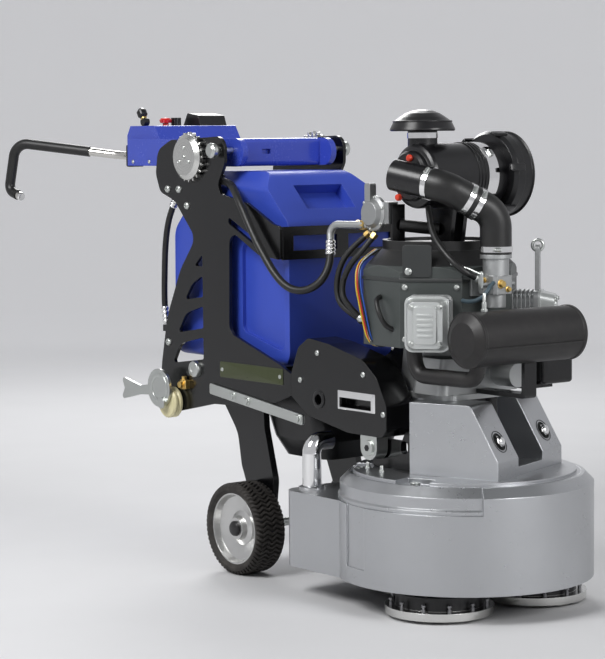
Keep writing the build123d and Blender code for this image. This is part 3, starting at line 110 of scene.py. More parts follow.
# %% The socket wrapper
class Value:
    """A number that changes over the surface: an output socket with arithmetic."""

    def __init__(self, paint, socket):
        self.paint, self.socket = paint, socket

    def sum_of(self, kind, *others):
        """A Math node of the given kind."""
        return self.paint.node("Math", dict(operation=kind), *others)

    def __add__(self, other):
        return self.sum_of("ADD", self, other)

    def __radd__(self, other):
        return self.sum_of("ADD", other, self)

    def __sub__(self, other):
        return self.sum_of("SUBTRACT", self, other)

    def __rsub__(self, other):
        return self.sum_of("SUBTRACT", other, self)

    def __mul__(self, other):
        return self.sum_of("MULTIPLY", self, other)

    def __rmul__(self, other):
        return self.sum_of("MULTIPLY", other, self)

    def __pow__(self, other):
        return self.sum_of("POWER", self, other)

    def __rpow__(self, other):
        return self.sum_of("POWER", other, self)

    def between(self, low, high):
        """0 at low, 1 at high, smooth in between."""
        steps = dict(interpolation_type="SMOOTHSTEP")
        return self.paint.node("MapRange", steps, self, low, high, 0.0, 1.0)


print("a Value knows", sum(name.startswith("__r") for name in vars(Value)), "operators from both sides")

# %% [markdown]
# ## One material's tree
# A second class holds the tree. One method makes every node from its type, settings and inputs, and short
# methods name the patterns that come again: noise, grain, a mix of two colours and sharp edges, which are
# painted lighter as wear and as a painted highlight.

# %% The node maker
class Paint:
    """One material's tree, with its Principled shader and Object coordinates ready."""

    def __init__(self, name, **constants):
        self.material = bpy.data.materials.new(name)
        self.material.use_nodes = True
        self.tree = self.material.node_tree
        self.shader = self.tree.nodes["Principled BSDF"]
        for socket, value in constants.items():
            self.shader.inputs[socket.replace("_", " ")].default_value = value
        self.place = self.node("TexCoord", dict(), out="Object")

    def node(self, kind, settings, *inputs, out=0, **named):
        """Adds a node: its settings, then its inputs by order or by name. An input of None is left alone."""
        node = self.tree.nodes.new("ShaderNode" + kind)
        for key, value in settings.items():
            setattr(node, key, value)
        by_name = [(name.replace("_", " "), value) for name, value in named.items()]
        for key, value in [*enumerate(inputs), *by_name]:
            if value is not None:
                self.link(node.inputs[key], value)
        return Value(self, node.outputs[out])

    def link(self, socket, value):
        """Wires a Value to a socket, or sets the socket to a number or a tuple."""
        if isinstance(value, Value):
            self.tree.links.new(value.socket, socket)
        else:
            socket.default_value = value

    def noise(self, scale, detail=3.0, rough=0.5, place=None):
        """Soft random value from 0 to 1 at each place."""
        where = self.place if place is None else place
        return self.node("TexNoise", {}, Vector=where, Scale=scale, Detail=detail, Roughness=rough)

    def grain(self, scale):
        """Cell pattern of distances, for cast skin and orange peel."""
        return self.node("TexVoronoi", dict(feature="SMOOTH_F1"), Vector=self.place, Scale=scale)

    def part(self, axis):
        """One of the three coordinates."""
        return self.node("SeparateXYZ", {}, self.place, out=axis)

    def mix(self, share, first, second):
        """A colour between two colours. A Mix node has five other sockets before its two for colours."""
        ends = [end if isinstance(end, Value) else (*end, 1) for end in (first, second)]
        return self.node("Mix", dict(data_type="RGBA"), share, *[None] * 5, *ends, out=2)

    def edges(self, radius):
        """1 on an edge that is sharper than the radius, by comparing the true normal with a rounded one."""
        soft = self.node("Bevel", dict(samples=4), radius)
        hard = self.node("NewGeometry", {}, out="Normal")
        dot = self.node("VectorMath", dict(operation="DOT_PRODUCT"), soft, hard, out="Value")
        return (1 - dot).between(0.02, 0.25), soft

    def done(self, colour, roughness, metallic=None, height=None, depth=0.001, strength=0.4, normal=None):
        """Feeds the shader: colour, roughness, metallic, and a bump of the given height field."""
        for name, value in (("Base Color", colour), ("Roughness", roughness), ("Metallic", metallic)):
            if value is not None:
                self.link(self.shader.inputs[name], value)
        if height is not None:
            bump = self.node("Bump", {}, Strength=strength, Distance=depth, Height=height, Normal=normal)
            self.link(self.shader.inputs["Normal"], bump)
        return self.material


print("the node maker is ready, with", len(bpy.data.materials), "materials so far")

# %% [markdown]
# ## Metals
# Cast aluminium under silver paint is not a mirror: the skin is a fine pebble and the gloss drifts over a
# hand's width. Sharp edges are painted lighter, partly as wear and partly as a painted highlight. The same
# recipe with other numbers gives the other metals.

# %% Cast, turned and plated metal
def tint(colour, times, plus=0.0):
    """Each channel times a number plus a number, at most 1."""
    return tuple(min(1, channel * times + plus) for channel in colour)


def metal(name, colour, rough, grain_scale, depth, metallic=0.9, drift=0.1, wear_and_highlight=0.0):
    """Metal = base colour x slow drift; roughness = level + fine noise; bump = cell grain; edges painted
    lighter as wear and painted highlight.
    """
    paint = Paint(name)
    slow = paint.noise(6.0, 4.0)
    fine = paint.noise(90.0, 4.0, 0.6)
    tone = paint.mix(slow, tint(colour, 1 - drift), tint(colour, 1 + drift))
    normal = None
    if wear_and_highlight:
        # Sharp edges are painted lighter: partly wear, partly a painted highlight.
        edge, normal = paint.edges(0.0025)
        tone = paint.mix(edge * wear_and_highlight, tone, tint(colour, 1.45, 0.06))
    roughness = rough + (fine - 0.5) * 0.16 + (slow - 0.5) * 0.10
    height = paint.grain(grain_scale) * 0.6 + fine * 0.4
    return paint.done(tone, roughness, metallic, height, depth, 0.35, normal)


cast_silver = metal("cast_silver", (0.48, 0.49, 0.505), 0.31, 420.0, 0.00008, 0.95, 0.08, 1.0)
bar_steel = metal("bar_steel", (0.60, 0.59, 0.56), 0.20, 600.0, 0.0001, 1.0, 0.06)
zinc_plate = metal("zinc_plate", (0.56, 0.58, 0.56), 0.32, 500.0, 0.0003, 1.0, 0.16, 0.4)
die_cast = metal("die_cast", (0.40, 0.41, 0.41), 0.46, 320.0, 0.0005, 0.9, 0.14, 0.4)
oiled_steel = metal("oiled_steel", (0.26, 0.26, 0.27), 0.36, 500.0, 0.0003, 1.0, 0.15, 0.2)
chrome = metal("chrome", (0.80, 0.80, 0.80), 0.10, 300.0, 0.0001, 1.0, 0.03)
brass = metal("brass", (0.66, 0.46, 0.16), 0.30, 400.0, 0.0003, 1.0, 0.12)
print("metals ready")

# %% [markdown]
# ## Marks of the lathe
# The wheel rims and the index discs come off a lathe, and the tool leaves rings round their axis. Noise
# read along the distance from that axis alone gives rings of uneven width, which carry colour, gloss and a
# shallow bump.

# %% Turned faces
def lathe(name, colour, rough, hub):
    """Rings = noise of the distance from the axis through the hub, which runs across the machine."""
    paint = Paint(name)
    off_x, off_z = paint.part("X") - hub[0], paint.part("Z") - hub[2]
    reach = (off_x * off_x + off_z * off_z) ** 0.5
    along = paint.node("CombineXYZ", {}, reach, 0.0, 0.0)
    rings, slow = paint.noise(620.0, 2.0, 0.5, along), paint.noise(14.0, 3.0)
    tone = paint.mix(rings * 0.6 + slow * 0.4, tint(colour, 0.86), tint(colour, 1.12))
    # Sharp edges of the turned faces are painted lighter: partly wear, partly a painted highlight.
    edge, normal = paint.edges(0.002)
    tone = paint.mix(edge * 0.5, tone, tint(colour, 1.4))
    return paint.done(tone, rough + (rings - 0.5) * 0.16, 1.0, rings, 0.0002, 0.25, normal)


WHEEL_X, WHEEL_Z = -665, 127
INDEX_X, INDEX_Z = -897, 1148
rim_steel = lathe("rim_steel", (0.60, 0.60, 0.59), 0.30, at(WHEEL_X, 0, WHEEL_Z))
index_steel = lathe("index_steel", (0.64, 0.64, 0.62), 0.26, at(INDEX_X, 0, INDEX_Z))
print("turned faces ready")

# %% [markdown]
# ## Paints and plastics
# Powder coat has a faint orange peel and edges painted lighter, partly where the film thins and partly as a
# painted highlight. Rotomoulded plastic is softer: a broad mottle, a fine pebble and a dull sheen. Both are
# one recipe with a gloss and a grain given for each.

# %% Painted and moulded skins
def skin(name, colour, rough, grain_scale, depth, drift=0.12, dust=0.0, wear_and_highlight=0.0, **constants):
    """Skin = colour x slow mottle, lightened by dust where noise is high; edges painted lighter as thin paint
    and painted highlight.
    """
    paint = Paint(name, **constants)
    slow = paint.noise(9.0, 5.0)
    fine = paint.noise(140.0, 3.0, 0.6)
    tone = paint.mix(slow, tint(colour, 1 - drift), tint(colour, 1 + drift))
    if dust:
        patch = (paint.noise(26.0, 6.0, 0.65) - 0.42).between(0.0, 0.3) * dust
        tone = paint.mix(patch, tone, (0.32, 0.30, 0.27))
    normal = None
    if wear_and_highlight:
        # Sharp edges are painted lighter: partly thin paint, partly a painted highlight.
        edge, normal = paint.edges(0.002)
        tone = paint.mix(edge * wear_and_highlight, tone, tint(colour, 1.5, 0.10))
    roughness = rough + (fine - 0.5) * 0.10 + (slow - 0.5) * 0.08
    height = paint.grain(grain_scale) * 0.7 + fine * 0.3
    return paint.done(tone, roughness, None, height, depth, 0.3, normal)


black_coat = skin("black_coat", (0.0035, 0.0035, 0.0040), 0.20, 600.0, 0.00015, 0.2, 0.004, 0.16)
blue_moulding = skin("blue_moulding", (0.036, 0.074, 0.47), 0.40, 520.0, 0.0004, 0.10, 0.0, 0.25)
blue_paint = skin("blue_paint", (0.040, 0.072, 0.47), 0.26, 700.0, 0.00004, 0.08, 0.0, 0.3, Coat_Weight=0.3)
cover_paint = skin("cover_paint", (0.58, 0.60, 0.59), 0.30, 420.0, 0.0004, 0.10, 0.02, 0.5, Metallic=0.6)
black_moulding = skin("black_moulding", (0.006, 0.006, 0.007), 0.30, 500.0, 0.0003, 0.2, 0.008, 0.18)
heat_coat = skin("heat_coat", (0.008, 0.007, 0.007), 0.46, 380.0, 0.0006, 0.3, 0.02, 0.15)
cream_nylon = skin("cream_nylon", (0.72, 0.66, 0.40), 0.40, 300.0, 0.0004, 0.08, 0.06)
red_gloss = skin("red_gloss", (0.62, 0.014, 0.010), 0.22, 300.0, 0.0002, 0.06, Coat_Weight=0.5)
red_cap = skin("red_cap", (0.66, 0.05, 0.02), 0.36, 300.0, 0.0003, 0.06)
hose_rubber = skin("hose_rubber", (0.007, 0.007, 0.007), 0.42, 360.0, 0.0006, 0.25, 0.01)
tyre_rubber = skin("tyre_rubber", (0.020, 0.017, 0.015), 0.70, 260.0, 0.0008, 0.25, 0.10)
olive_plate = skin("olive_plate", (0.055, 0.066, 0.026), 0.30, 300.0, 0.0003, 0.15, 0.02, 0.4, Metallic=0.4)
dark_coat = skin("dark_coat", (0.030, 0.033, 0.033), 0.34, 500.0, 0.0003, 0.15, 0.01, 0.3)
print("paints and plastics ready")

# %% [markdown]
# ## Two finishes on one piece
# The blower housing is one pressing, but its roof is black and its sides are grey-green paint. Each disc is
# bright steel below and blackened above. Height splits the finish, so the boundary is a soft step on the z
# coordinate.

# %% Finishes that change with height
def two_tone(name, low_colour, high_colour, border, rough, metallic):
    """Lower and upper colour with a 1 mm border, each with slow drift, fine noise and a painted highlight on
    the edges.
    """
    paint = Paint(name)
    upper = paint.part("Z").between(border - 0.0005, border + 0.0005)
    slow, fine = paint.noise(9.0, 4.0), paint.noise(110.0, 3.0, 0.6)
    low, high = (
        paint.mix(slow, tint(colour, 0.86), tint(colour, 1.14))
        for colour in (low_colour, high_colour)
    )
    # Sharp edges are painted towards mid grey: a painted highlight.
    edge, normal = paint.edges(0.002)
    tone = paint.mix(edge * 0.3, paint.mix(upper, low, high), (0.5, 0.5, 0.5))
    roughness = rough[0] + upper * (rough[1] - rough[0]) + (fine - 0.5) * 0.12
    shine = metallic[0] + upper * (metallic[1] - metallic[0])
    return paint.done(tone, roughness, shine, paint.grain(450.0) * 0.6 + fine * 0.4, 0.0004, 0.3, normal)


ROOF_EDGE, DISC_EDGE = 0.874, 0.0285
grey_green, soot = (0.052, 0.060, 0.058), (0.008, 0.008, 0.008)
engine_paint = two_tone("engine_paint", grey_green, soot, ROOF_EDGE, (0.42, 0.46), (0.0, 0.0))
bright, blackened = (0.66, 0.66, 0.64), (0.035, 0.035, 0.036)
disc_steel = two_tone("disc_steel", bright, blackened, DISC_EDGE, (0.24, 0.38), (1.0, 0.7))
print("split finishes ready")

# %% [markdown]
# ## Dressing the CAD nodes
# The CAD shapes stay as they are and only get their finish, from one table with a row for each finish. The
# hoses, the tyres and the exhaust pipe are in it too, although finer pieces stand for them further down.

# %% Give every node its finish
finishes = {
    cast_silver: "shroud ring_casting engine_mount",
    oiled_steel: "gear_case sun_gear carrier planet_gear_1 planet_gear_2 planet_gear_3",
    disc_steel: "disc_1 disc_2 disc_3",
    bar_steel: "handlebars",
    index_steel: "index_discs",
    rim_steel: "rim_right rim_left",
    chrome: "dust_port clamps",
    black_coat: "side_plate_right side_plate_left cross_members tank_band hinge_covers wheel_legs"
    " head_brackets engine_brackets",
    zinc_plate: "hinge_clevises hinge_pins axle link_bars foot_pedal lock_knob_right lock_knob_left",
    blue_moulding: "tank",
    blue_paint: "yoke console",
    engine_paint: "blower_housing",
    die_cast: "crankcase cylinders carburettor regulator",
    cover_paint: "valve_covers",
    heat_coat: "muffler exhaust_pipe",
    black_moulding: "air_cleaner_body air_cleaner_cover rain_cap belly_pan display speed_knob throttle_lever",
    hose_rubber: "intake_hose fuel_hoses gas_hose drop_hose grips",
    tyre_rubber: "tyre_right tyre_left",
    red_gloss: "estop_button",
    cream_nylon: "rollers",
}
for finish, names in finishes.items():
    for name in names.split():
        nodes[name].data.materials.clear()
        nodes[name].data.materials.append(finish)
print("finished", sum(len(names.split()) for names in finishes.values()), "nodes")

# %% [markdown]
# ## Surfaces from numbers
# A new piece is a grid of points: rows along one parameter, columns round the other. The faces between four
# neighbours follow from the grid's size alone, so a piece, or many copies of it, is a few lines of array
# maths.

# %% Faces of a grid
def grid_faces(rows, columns):
    """Quads of a grid closed round its columns: (i, j) joins (i, j+1), (i+1, j+1) and (i+1, j)."""
    i, j = np.meshgrid(np.arange(rows - 1), np.arange(columns), indexing="ij")
    across = (j + 1) % columns
    corners = [i * columns + j, i * columns + across, (i + 1) * columns + across, (i + 1) * columns + j]
    return np.stack(corners, -1).reshape(-1, 4)


print("a grid of 3 rows and 4 columns has", len(grid_faces(3, 4)), "faces")


# %% Meshes and pieces
def mesh_of(name, grids, finish, sharp=35.0):
    """One mesh of grids (rows, columns, 3) or stacks of grids (n, rows, columns, 3), doubles merged."""
    points, faces, start = [], [], 0
    for grid in grids:
        grid = np.asarray(grid, float)
        grid = grid if grid.ndim == 4 else grid[None]
        count, rows, columns, _ = grid.shape
        starts = start + np.arange(count) * rows * columns
        faces.append((grid_faces(rows, columns)[None] + starts[:, None, None]).reshape(-1, 4))
        points.append(grid.reshape(-1, 3))
        start += grid.size // 3
    mesh = bpy.data.meshes.new(name)
    mesh.from_pydata(np.concatenate(points).tolist(), [], np.concatenate(faces).tolist())
    work = bmesh.new()
    work.from_mesh(mesh)
    bmesh.ops.remove_doubles(work, verts=work.verts, dist=1e-6)
    bmesh.ops.recalc_face_normals(work, faces=work.faces)
    work.to_mesh(mesh)
    work.free()
    mesh.polygons.foreach_set("use_smooth", np.ones(len(mesh.polygons), bool))
    mesh.set_sharp_from_angle(angle=np.radians(sharp))
    mesh.materials.append(finish)
    piece = bpy.data.objects.new(name, mesh)
    bpy.context.scene.collection.objects.link(piece)
    print(name, len(mesh.polygons), "faces")
    return piece


def put(name, grids, body, finish, sharp=35.0):
    """A piece with its finish, moved with a body if one is named."""
    piece = mesh_of(name, grids, finish, sharp)
    if body:
        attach(piece, body)
    return piece


# %% [markdown]
# ## The hoses and wires
# A hose hangs in one smooth line between its two fittings. Its control points are the same as the
# drawing's, and a NURBS spline of order three runs smoothly past them. The gas hose crosses the head's
# hinge, so its tube is a mesh of its own that follows no body; the line it follows is read back from the
# spline. The thin engine wires are laid in the same way.

# %% Lines through a route
def hose_line(name, route):
    """NURBS curve of order 3 through its two ends, pulled by the points between."""
    curve = bpy.data.curves.new(name, "CURVE")
    curve.dimensions = "3D"
    curve.resolution_u = 10
    spline = curve.splines.new("NURBS")
    spline.points.add(len(route) - 1)
    flat = np.ones((len(route), 4))
    flat[:, :3] = all_at(route)
    spline.points.foreach_set("co", flat.ravel())
    spline.order_u = 3
    spline.use_endpoint_u = True
    return curve


def curve_points(curve):
    """Points that Blender itself works out along a curve with no bevel."""
    holder = bpy.data.objects.new("line", curve)
    mesh = bpy.data.meshes.new_from_object(holder)
    points = np.empty(len(mesh.vertices) * 3)
    mesh.vertices.foreach_get("co", points)
    bpy.data.objects.remove(holder)
    bpy.data.meshes.remove(mesh)
    return points.reshape(-1, 3)


def line_length(points):
    """Sum of the distances between neighbours."""
    return float(np.linalg.norm(np.diff(points, axis=0), axis=1).sum())


print("a straight line of 1 m measures", line_length([(0, 0, 0), (0, 1, 0)]), "m")

# %% Tubes along a line
ASIDE = (0.31, 0.17, 0.93)


def unit(vector):
    """The vector, or each row of vectors, divided by its length."""
    return np.asarray(vector, float) / np.linalg.norm(vector, axis=-1, keepdims=True)


def tube_grid(points, radius, columns=14):
    """Circle carried along a line: point + radius x circle square to the line, with a point at each end."""
    points = np.asarray(points, float)
    ahead = unit(np.gradient(points, axis=0))
    side = unit(np.cross(ahead, ASIDE))
    up = np.cross(side, ahead)
    angle = np.linspace(0, 2 * np.pi, columns, endpoint=False)
    radius = np.broadcast_to(radius, len(points))
    ring = np.cos(angle)[None, :, None] * side[:, None] + np.sin(angle)[None, :, None] * up[:, None]
    rings = points[:, None] + ring * radius[:, None, None]
    caps = np.repeat(points[[0, -1]][:, None], columns, 1)
    return np.concatenate([caps[:1], rings, caps[1:]])


def lay(name, route, radius, body, finish):
    """A hose or wire along its route; its length is printed."""
    line = curve_points(hose_line(name + "_line", route))
    piece = put(name, [tube_grid(line, radius)], body, finish, sharp=60)
    print(name, round(line_length(line), 3), "m long")
    return piece, line


print("a tube through 2 points is a grid of", tube_grid([(0, 0, 0), (0, 1, 0)], 0.1).shape[:2])

# %% [markdown]
# ## Where the hoses run
# The gas hose sags from the regulator to the frame, the drop hose falls behind the frame, and three fuel
# hoses leave the regulator and the air cleaner. A table of places in drawing millimetres is the plainest
# way to keep each route.

# %% Lay the hoses
gas_route = [
    (-346, -160, 930), (-338, -166, 893), (-334, -178, 853), (-346, -196, 819), (-376, -214, 798),
    (-415, -229, 796), (-452, -238, 812), (-490, -241, 843), (-530, -241, 884), (-572, -240, 930),
    (-614, -238, 985), (-655, -232, 1032), (-696, -218, 1060), (-742, -196, 1076), (-790, -190, 1082),
]
drop_route = [
    (-1003, -195, 1034), (-1030, -196, 996), (-1052, -196, 948), (-1064, -196, 888),
    (-1070, -195, 820), (-1073, -195, 756), (-1071, -195, 704), (-1063, -195, 668),
]
fuel_routes = [
    [
        (-225, -132, 948), (-262, -158, 912), (-287, -178, 864), (-293, -186, 800), (-268, -184, 752),
        (-216, -153, 722),
    ],
    [
        (-190, -140, 946), (-206, -164, 908), (-240, -184, 868), (-262, -192, 816), (-246, -196, 770),
        (-205, -164, 724),
    ],
    [
        (-27, -96, 1022.9), (-16, -102, 992), (8, -114, 958), (44, -122, 926), (82, -122, 896),
        (108, -111, 872), (123, -88, 853), (128, -58, 842),
    ],
]
GAS_R, DROP_R, FUEL_R = 0.0105, 0.009, 0.008
gas_hose, gas_line = lay("gas_hose_tube", gas_route, GAS_R, None, hose_rubber)
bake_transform(gas_hose)
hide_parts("gas_hose")
drop_hose, drop_line = lay("drop_hose_tube", drop_route, DROP_R, "chassis", hose_rubber)
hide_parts("drop_hose")
for number, route in enumerate(fuel_routes, 1):
    fuel_hose, _ = lay(f"fuel_hose_tube_{number}", route, FUEL_R, "head", hose_rubber)
    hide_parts("fuel_hoses")

# %% [markdown]
# ## The engine's wires
# Thin wires of several colours leave the roof of the blower beside the regulator, fall over its eaves, run
# down its side and go under it. Five copies of one route, set 4.5 mm apart and bowed by different amounts,
# read as a loom.

# %% Lay the wires
wire_route = np.array([
    (-205, -118, 908), (-206, -148, 894), (-196, -186, 868), (-184, -197, 820), (-172, -194, 770),
    (-162, -190, 720), (-152, -188, 682), (-144, -170, 660), (-140, -146, 665),
], float)
wire_colours = dict(
    red=(0.50, 0.02, 0.02), yellow=(0.62, 0.46, 0.03), white=(0.70, 0.70, 0.66), blue=(0.03, 0.10, 0.45),
    black=(0.008, 0.008, 0.008),
)
WIRE_GAP, WIRE_R = 4.5, 0.0022
bow = np.sin(np.linspace(0, np.pi, len(wire_route)))
for number, (colour_name, colour) in enumerate(wire_colours.items()):
    sheath = skin(f"{colour_name}_sheath", colour, 0.38, 700.0, 0.0002, 0.12)
    offset = np.zeros_like(wire_route)
    offset[:, 0] = WIRE_GAP * (number - 2) + bow * 5 * np.cos(2.4 * number)
    offset[:, 1] = -bow * (3 + 2.5 * np.sin(1.9 * number))
    lay(f"engine_wire_{colour_name}", wire_route + offset, WIRE_R, "head", sheath)

# %% [markdown]
# ## Two more lines on the engine
# A thick rubber lead goes from the blower to the spark plug, and a clear grey-blue pipe brings fuel back
# from the mixer. Both are short and bend once, so they are laid like the wires.

# %% Lead of the spark plug and the fuel return
lead_route = [
    (-108, -186, 794), (-104, -202, 792), (-94, -214, 780), (-82, -217, 758), (-72, -214, 736),
    (-62, -204, 718), (-54, -187, 712),
]
lay("spark_lead", lead_route, 0.0065, "head", hose_rubber)
return_sheath = skin("return_sheath", (0.055, 0.085, 0.105), 0.42, 500.0, 0.0004, 0.15)
return_route = [
    (168, -52, 836), (172, -66, 830), (176, -80, 816), (168, -92, 800), (146, -98, 790), (112, -96, 788),
    (82, -84, 790), (66, -66, 792),
]
lay("fuel_return", return_route, 0.0055, "head", return_sheath)

# %% [markdown]
# ## Turned pieces
# Bolts, caps, ferrules and rings are all turned shapes: a short profile of radius and height carried round
# an axis. A hex head is the same thing with six columns.

# %% The turning function and hex bolts
FORWARD, LEFT, RIGHT, UP = (1, 0, 0), (0, 1, 0), (0, -1, 0), (0, 0, 1)


def turned(profile, places, axis, columns=24, spin=0.0):
    """Rows of (radius, height) in mm round an axis: place + height x axis + radius x circle from spin."""
    profile = np.asarray(profile, float) / 1000
    places = np.atleast_2d(places)
    axis = np.broadcast_to(unit(axis), places.shape)
    helper = np.where(np.abs(axis[:, 2:]) > 0.9, FORWARD, UP)
    side = unit(np.cross(helper, axis))
    up = np.cross(axis, side)
    angle = np.linspace(0, 2 * np.pi, columns, endpoint=False) + np.radians(spin)
    circle = np.cos(angle)[:, None] * side[:, None] + np.sin(angle)[:, None] * up[:, None]
    raised = places[:, None, None] + profile[None, :, None, 1:] * axis[:, None, None]
    return raised + profile[None, :, None, :1] * circle[:, None]


def hex_bolts(places, axis, radius, tall):
    """Round washer sunk 0.5 mm into its seat, and a chamfered six-sided head on it."""
    washer = [(0, -0.5), (1.3 * radius, -0.5), (1.3 * radius, 1.4), (1.2 * radius, 1.8), (0, 1.8)]
    head = [(0, 1.5), (radius, 1.5), (radius, tall - 1), (0.84 * radius, tall), (0, tall)]
    return [turned(washer, places, axis, 20), turned(head, places, axis, 6)]


print("a hex head is a grid of", hex_bolts(at(0, 0, 0), UP, 10, 8)[1].shape[1:3], "points")

# %% [markdown]
# ## Fasteners on the grinding head
# Two chrome dome nuts hold the engine mount. They sit in dark cups with a flared rim, in pockets that are
# square to the sloped faces; the cups' near-black also paints the shade inside the pockets. Socket screws
# hold the ring casting down in its four bays, three studs stand by the hinge bracket, and a collar closes the
# foot of the dust port.

# %% Foot bolts
yaw = np.radians(20)
turn_z = np.array([[np.cos(yaw), -np.sin(yaw), 0], [np.sin(yaw), np.cos(yaw), 0], [0, 0, 1]])
slope = unit((-78, 0, 138))
normal = np.array((slope[2], 0, -slope[0]))
pockets = np.array([(190, -125, 395), (190, 125, 395)]) + slope * 52 - normal * 26
seats, foot_axis = all_at(pockets @ turn_z.T), turn_z @ normal
# Dark cup in each pocket: a lining, and a painted shade of the pocket's depth.
lining_and_shade = [
    (0, -0.3), (23.8, -0.3), (23.8, 25.8), (29.4, 25.8), (30.0, 26.4), (29.6, 27.2), (28.2, 27.4), (23.4, 20),
    (22.6, 1.2), (0, 1.2),
]
put("foot_bolt_lining_and_shade", [turned(lining_and_shade, seats, foot_axis, 40)], "head", dark_coat)
dome = [(0, 29), (14.2, 29), (14.0, 33), (11.6, 36.4), (7.6, 38.4), (3.4, 39.2), (0, 39.4)]
foot_heads = hex_bolts(seats + foot_axis * 0.001, foot_axis, 16.5, 30) + [turned(dome, seats, foot_axis, 28)]
put("foot_bolts", foot_heads, "head", chrome)


# %% Ring screws, studs and collar
def round_places(degrees, radius, across=FORWARD, up=LEFT):
    """Places on a circle round the origin: radius x (cosine of angle x across + sine of angle x up)."""
    angle = np.radians(degrees)[:, None]
    return radius * (np.cos(angle) * across + np.sin(angle) * up)


bays = at(0, 0, 336) + round_places(-69 - 66 * np.arange(4), 0.270)
socket = [(0, -0.5), (13, -0.5), (13, 9), (12, 10), (7, 10), (7, 4), (0, 4)]
put("ring_screws", [turned(socket, bays, UP, 28)], "head", zinc_plate)
studs = all_at([(-144, -204, 350), (-68, -221, 350), (-78, -155, 350)])
stud = [(0, -0.5), (8, -0.5), (8, 5), (5.2, 5.5), (5.2, 15), (4.2, 16.5), (0, 16.5)]
put("hinge_studs", [turned(stud, studs, UP, 12)], "head", zinc_plate)
port_foot = 1000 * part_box("dust_port")[0][2]
collar = [(25.5, -0.4), (34, -0.4), (34, 5), (31, 8), (27, 9), (25.5, 9), (25.5, -0.4)]
put("dust_port_collar", [turned(collar, at(-342, -232, port_foot), UP, 36)], "head", cast_silver)

# %% [markdown]
# ## Bolts round the discs
# Every grinding disc hangs on rubber buffers. From the side one sees a dark drum and, in front of it, a
# ring of bright screw heads on short posts, standing on the disc's back.

# %% Posts and heads round each disc
post_ring = round_places(np.arange(12) * 30.0, 0.124)
post = [(0, -0.5), (5, -0.5), (5, 8), (3.4, 8.4), (3.4, 13), (6, 13.4), (6, 18), (5, 19.2), (0, 19.2)]
disc_centres = at(0, 0, 28) + round_places(-62.7 + 120 * np.arange(3), 0.180)
for number, body in enumerate(("disc_one", "disc_two", "disc_three")):
    posts = turned(post, disc_centres[number] + post_ring, UP, 10)
    put(f"disc_screws_{number + 1}", [posts], body, oiled_steel)

# %% [markdown]
# ## The tyres
# A turf tyre is a smooth round cross-section with grooves pressed into it. The grooves zigzag across the
# tread in a herringbone, so one formula does it: take the angle round the wheel, add a triangle wave of the
# place across, and cut wherever the fraction that is left lies near a half.

# %% Tread cut by a formula
TYRE_R, SEAT_R, SHOULDER, FLAT = 127, 98.5, 13, 34.5
TREAD_FROM, TREAD_FULL = 116, 122


def tyre_grid(middle_y, grooves=58, depth=0.0055, half_groove=0.24, groove_wall=0.07, zigzag_mm=32):
    """Ring of cross-sections; radius drops by a smooth pulse of frac(grooves x angle + zigzag of width)."""
    corner = np.linspace(0, np.pi / 2, 7)
    crown = np.linspace(-FLAT, FLAT, 30)[1:-1]
    wall, shoulder_r = FLAT + SHOULDER, TYRE_R - SHOULDER
    bead, wall_r = wall - 8, SEAT_R + 10
    across = np.concatenate([
        [-bead, -wall], -FLAT - SHOULDER * np.cos(corner), crown, FLAT + SHOULDER * np.sin(corner),
        [wall, bead, -bead],
    ])
    reach = np.concatenate([
        [SEAT_R, wall_r], shoulder_r + SHOULDER * np.sin(corner), 0 * crown + TYRE_R,
        shoulder_r + SHOULDER * np.cos(corner), [wall_r, SEAT_R, SEAT_R],
    ])
    round_wheel = np.linspace(0, 2 * np.pi, grooves * 14, endpoint=False)
    zigzag = np.abs((across / zigzag_mm) % 1 - 0.5) * 2
    phase = (grooves * round_wheel[None] / (2 * np.pi) + 0.75 * zigzag[:, None]) % 1
    cut = np.clip((half_groove - np.abs(phase - 0.5)) / groove_wall, 0, 1)
    tread = np.clip((reach - TREAD_FROM) / (TREAD_FULL - TREAD_FROM), 0, 1)[:, None]
    radius = reach[:, None] / 1000 - depth * cut * tread
    hub = at(WHEEL_X, middle_y, WHEEL_Z)
    grid = np.empty((len(across), len(round_wheel), 3))
    grid[..., 0] = hub[0] + radius * np.sin(round_wheel)
    grid[..., 1] = hub[1] + across[:, None] / 1000
    grid[..., 2] = hub[2] - radius * np.cos(round_wheel)
    return grid


hub_cap = [(0, -0.5), (21, -0.5), (21, 5), (18.5, 8.4), (11, 10.4), (0, 11)]
for side, outward in (("right", -1), ("left", 1)):
    tyre = put(f"tyre_{side}_tread", [tyre_grid(214.5 * outward)], f"wheel_{side}", tyre_rubber, sharp=30)
    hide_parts(f"tyre_{side}")
    cap = turned(hub_cap, at(WHEEL_X, 248 * outward, WHEEL_Z), (0, outward, 0), 32)
    put(f"hub_cap_{side}", [cap], f"wheel_{side}", black_moulding)

# %% [markdown]
# ## Plates and frames
# A flat plate is an outline pushed outwards, with its top edge broken. Outlines are rounded rectangles
# here. A frame is a plate whose middle is another outline, so its rows run round the wall and meet again.

# %% Flat pieces from outlines
def rounded(wide, high, corner, middle=(0, 0)):
    """Rounded rectangle: four quarter circles of seven points joined by straight runs, round its middle."""
    quarter = np.radians(np.arange(0, 91, 15))[None] + np.radians((0, 90, 180, 270))[:, None]
    signs = np.array(((1, 1), (-1, 1), (-1, -1), (1, -1)))
    centres = signs * (wide / 2 - corner, high / 2 - corner)
    arcs = centres[:, None] + corner * np.stack([np.cos(quarter), np.sin(quarter)], -1)
    return arcs.reshape(-1, 2) + middle


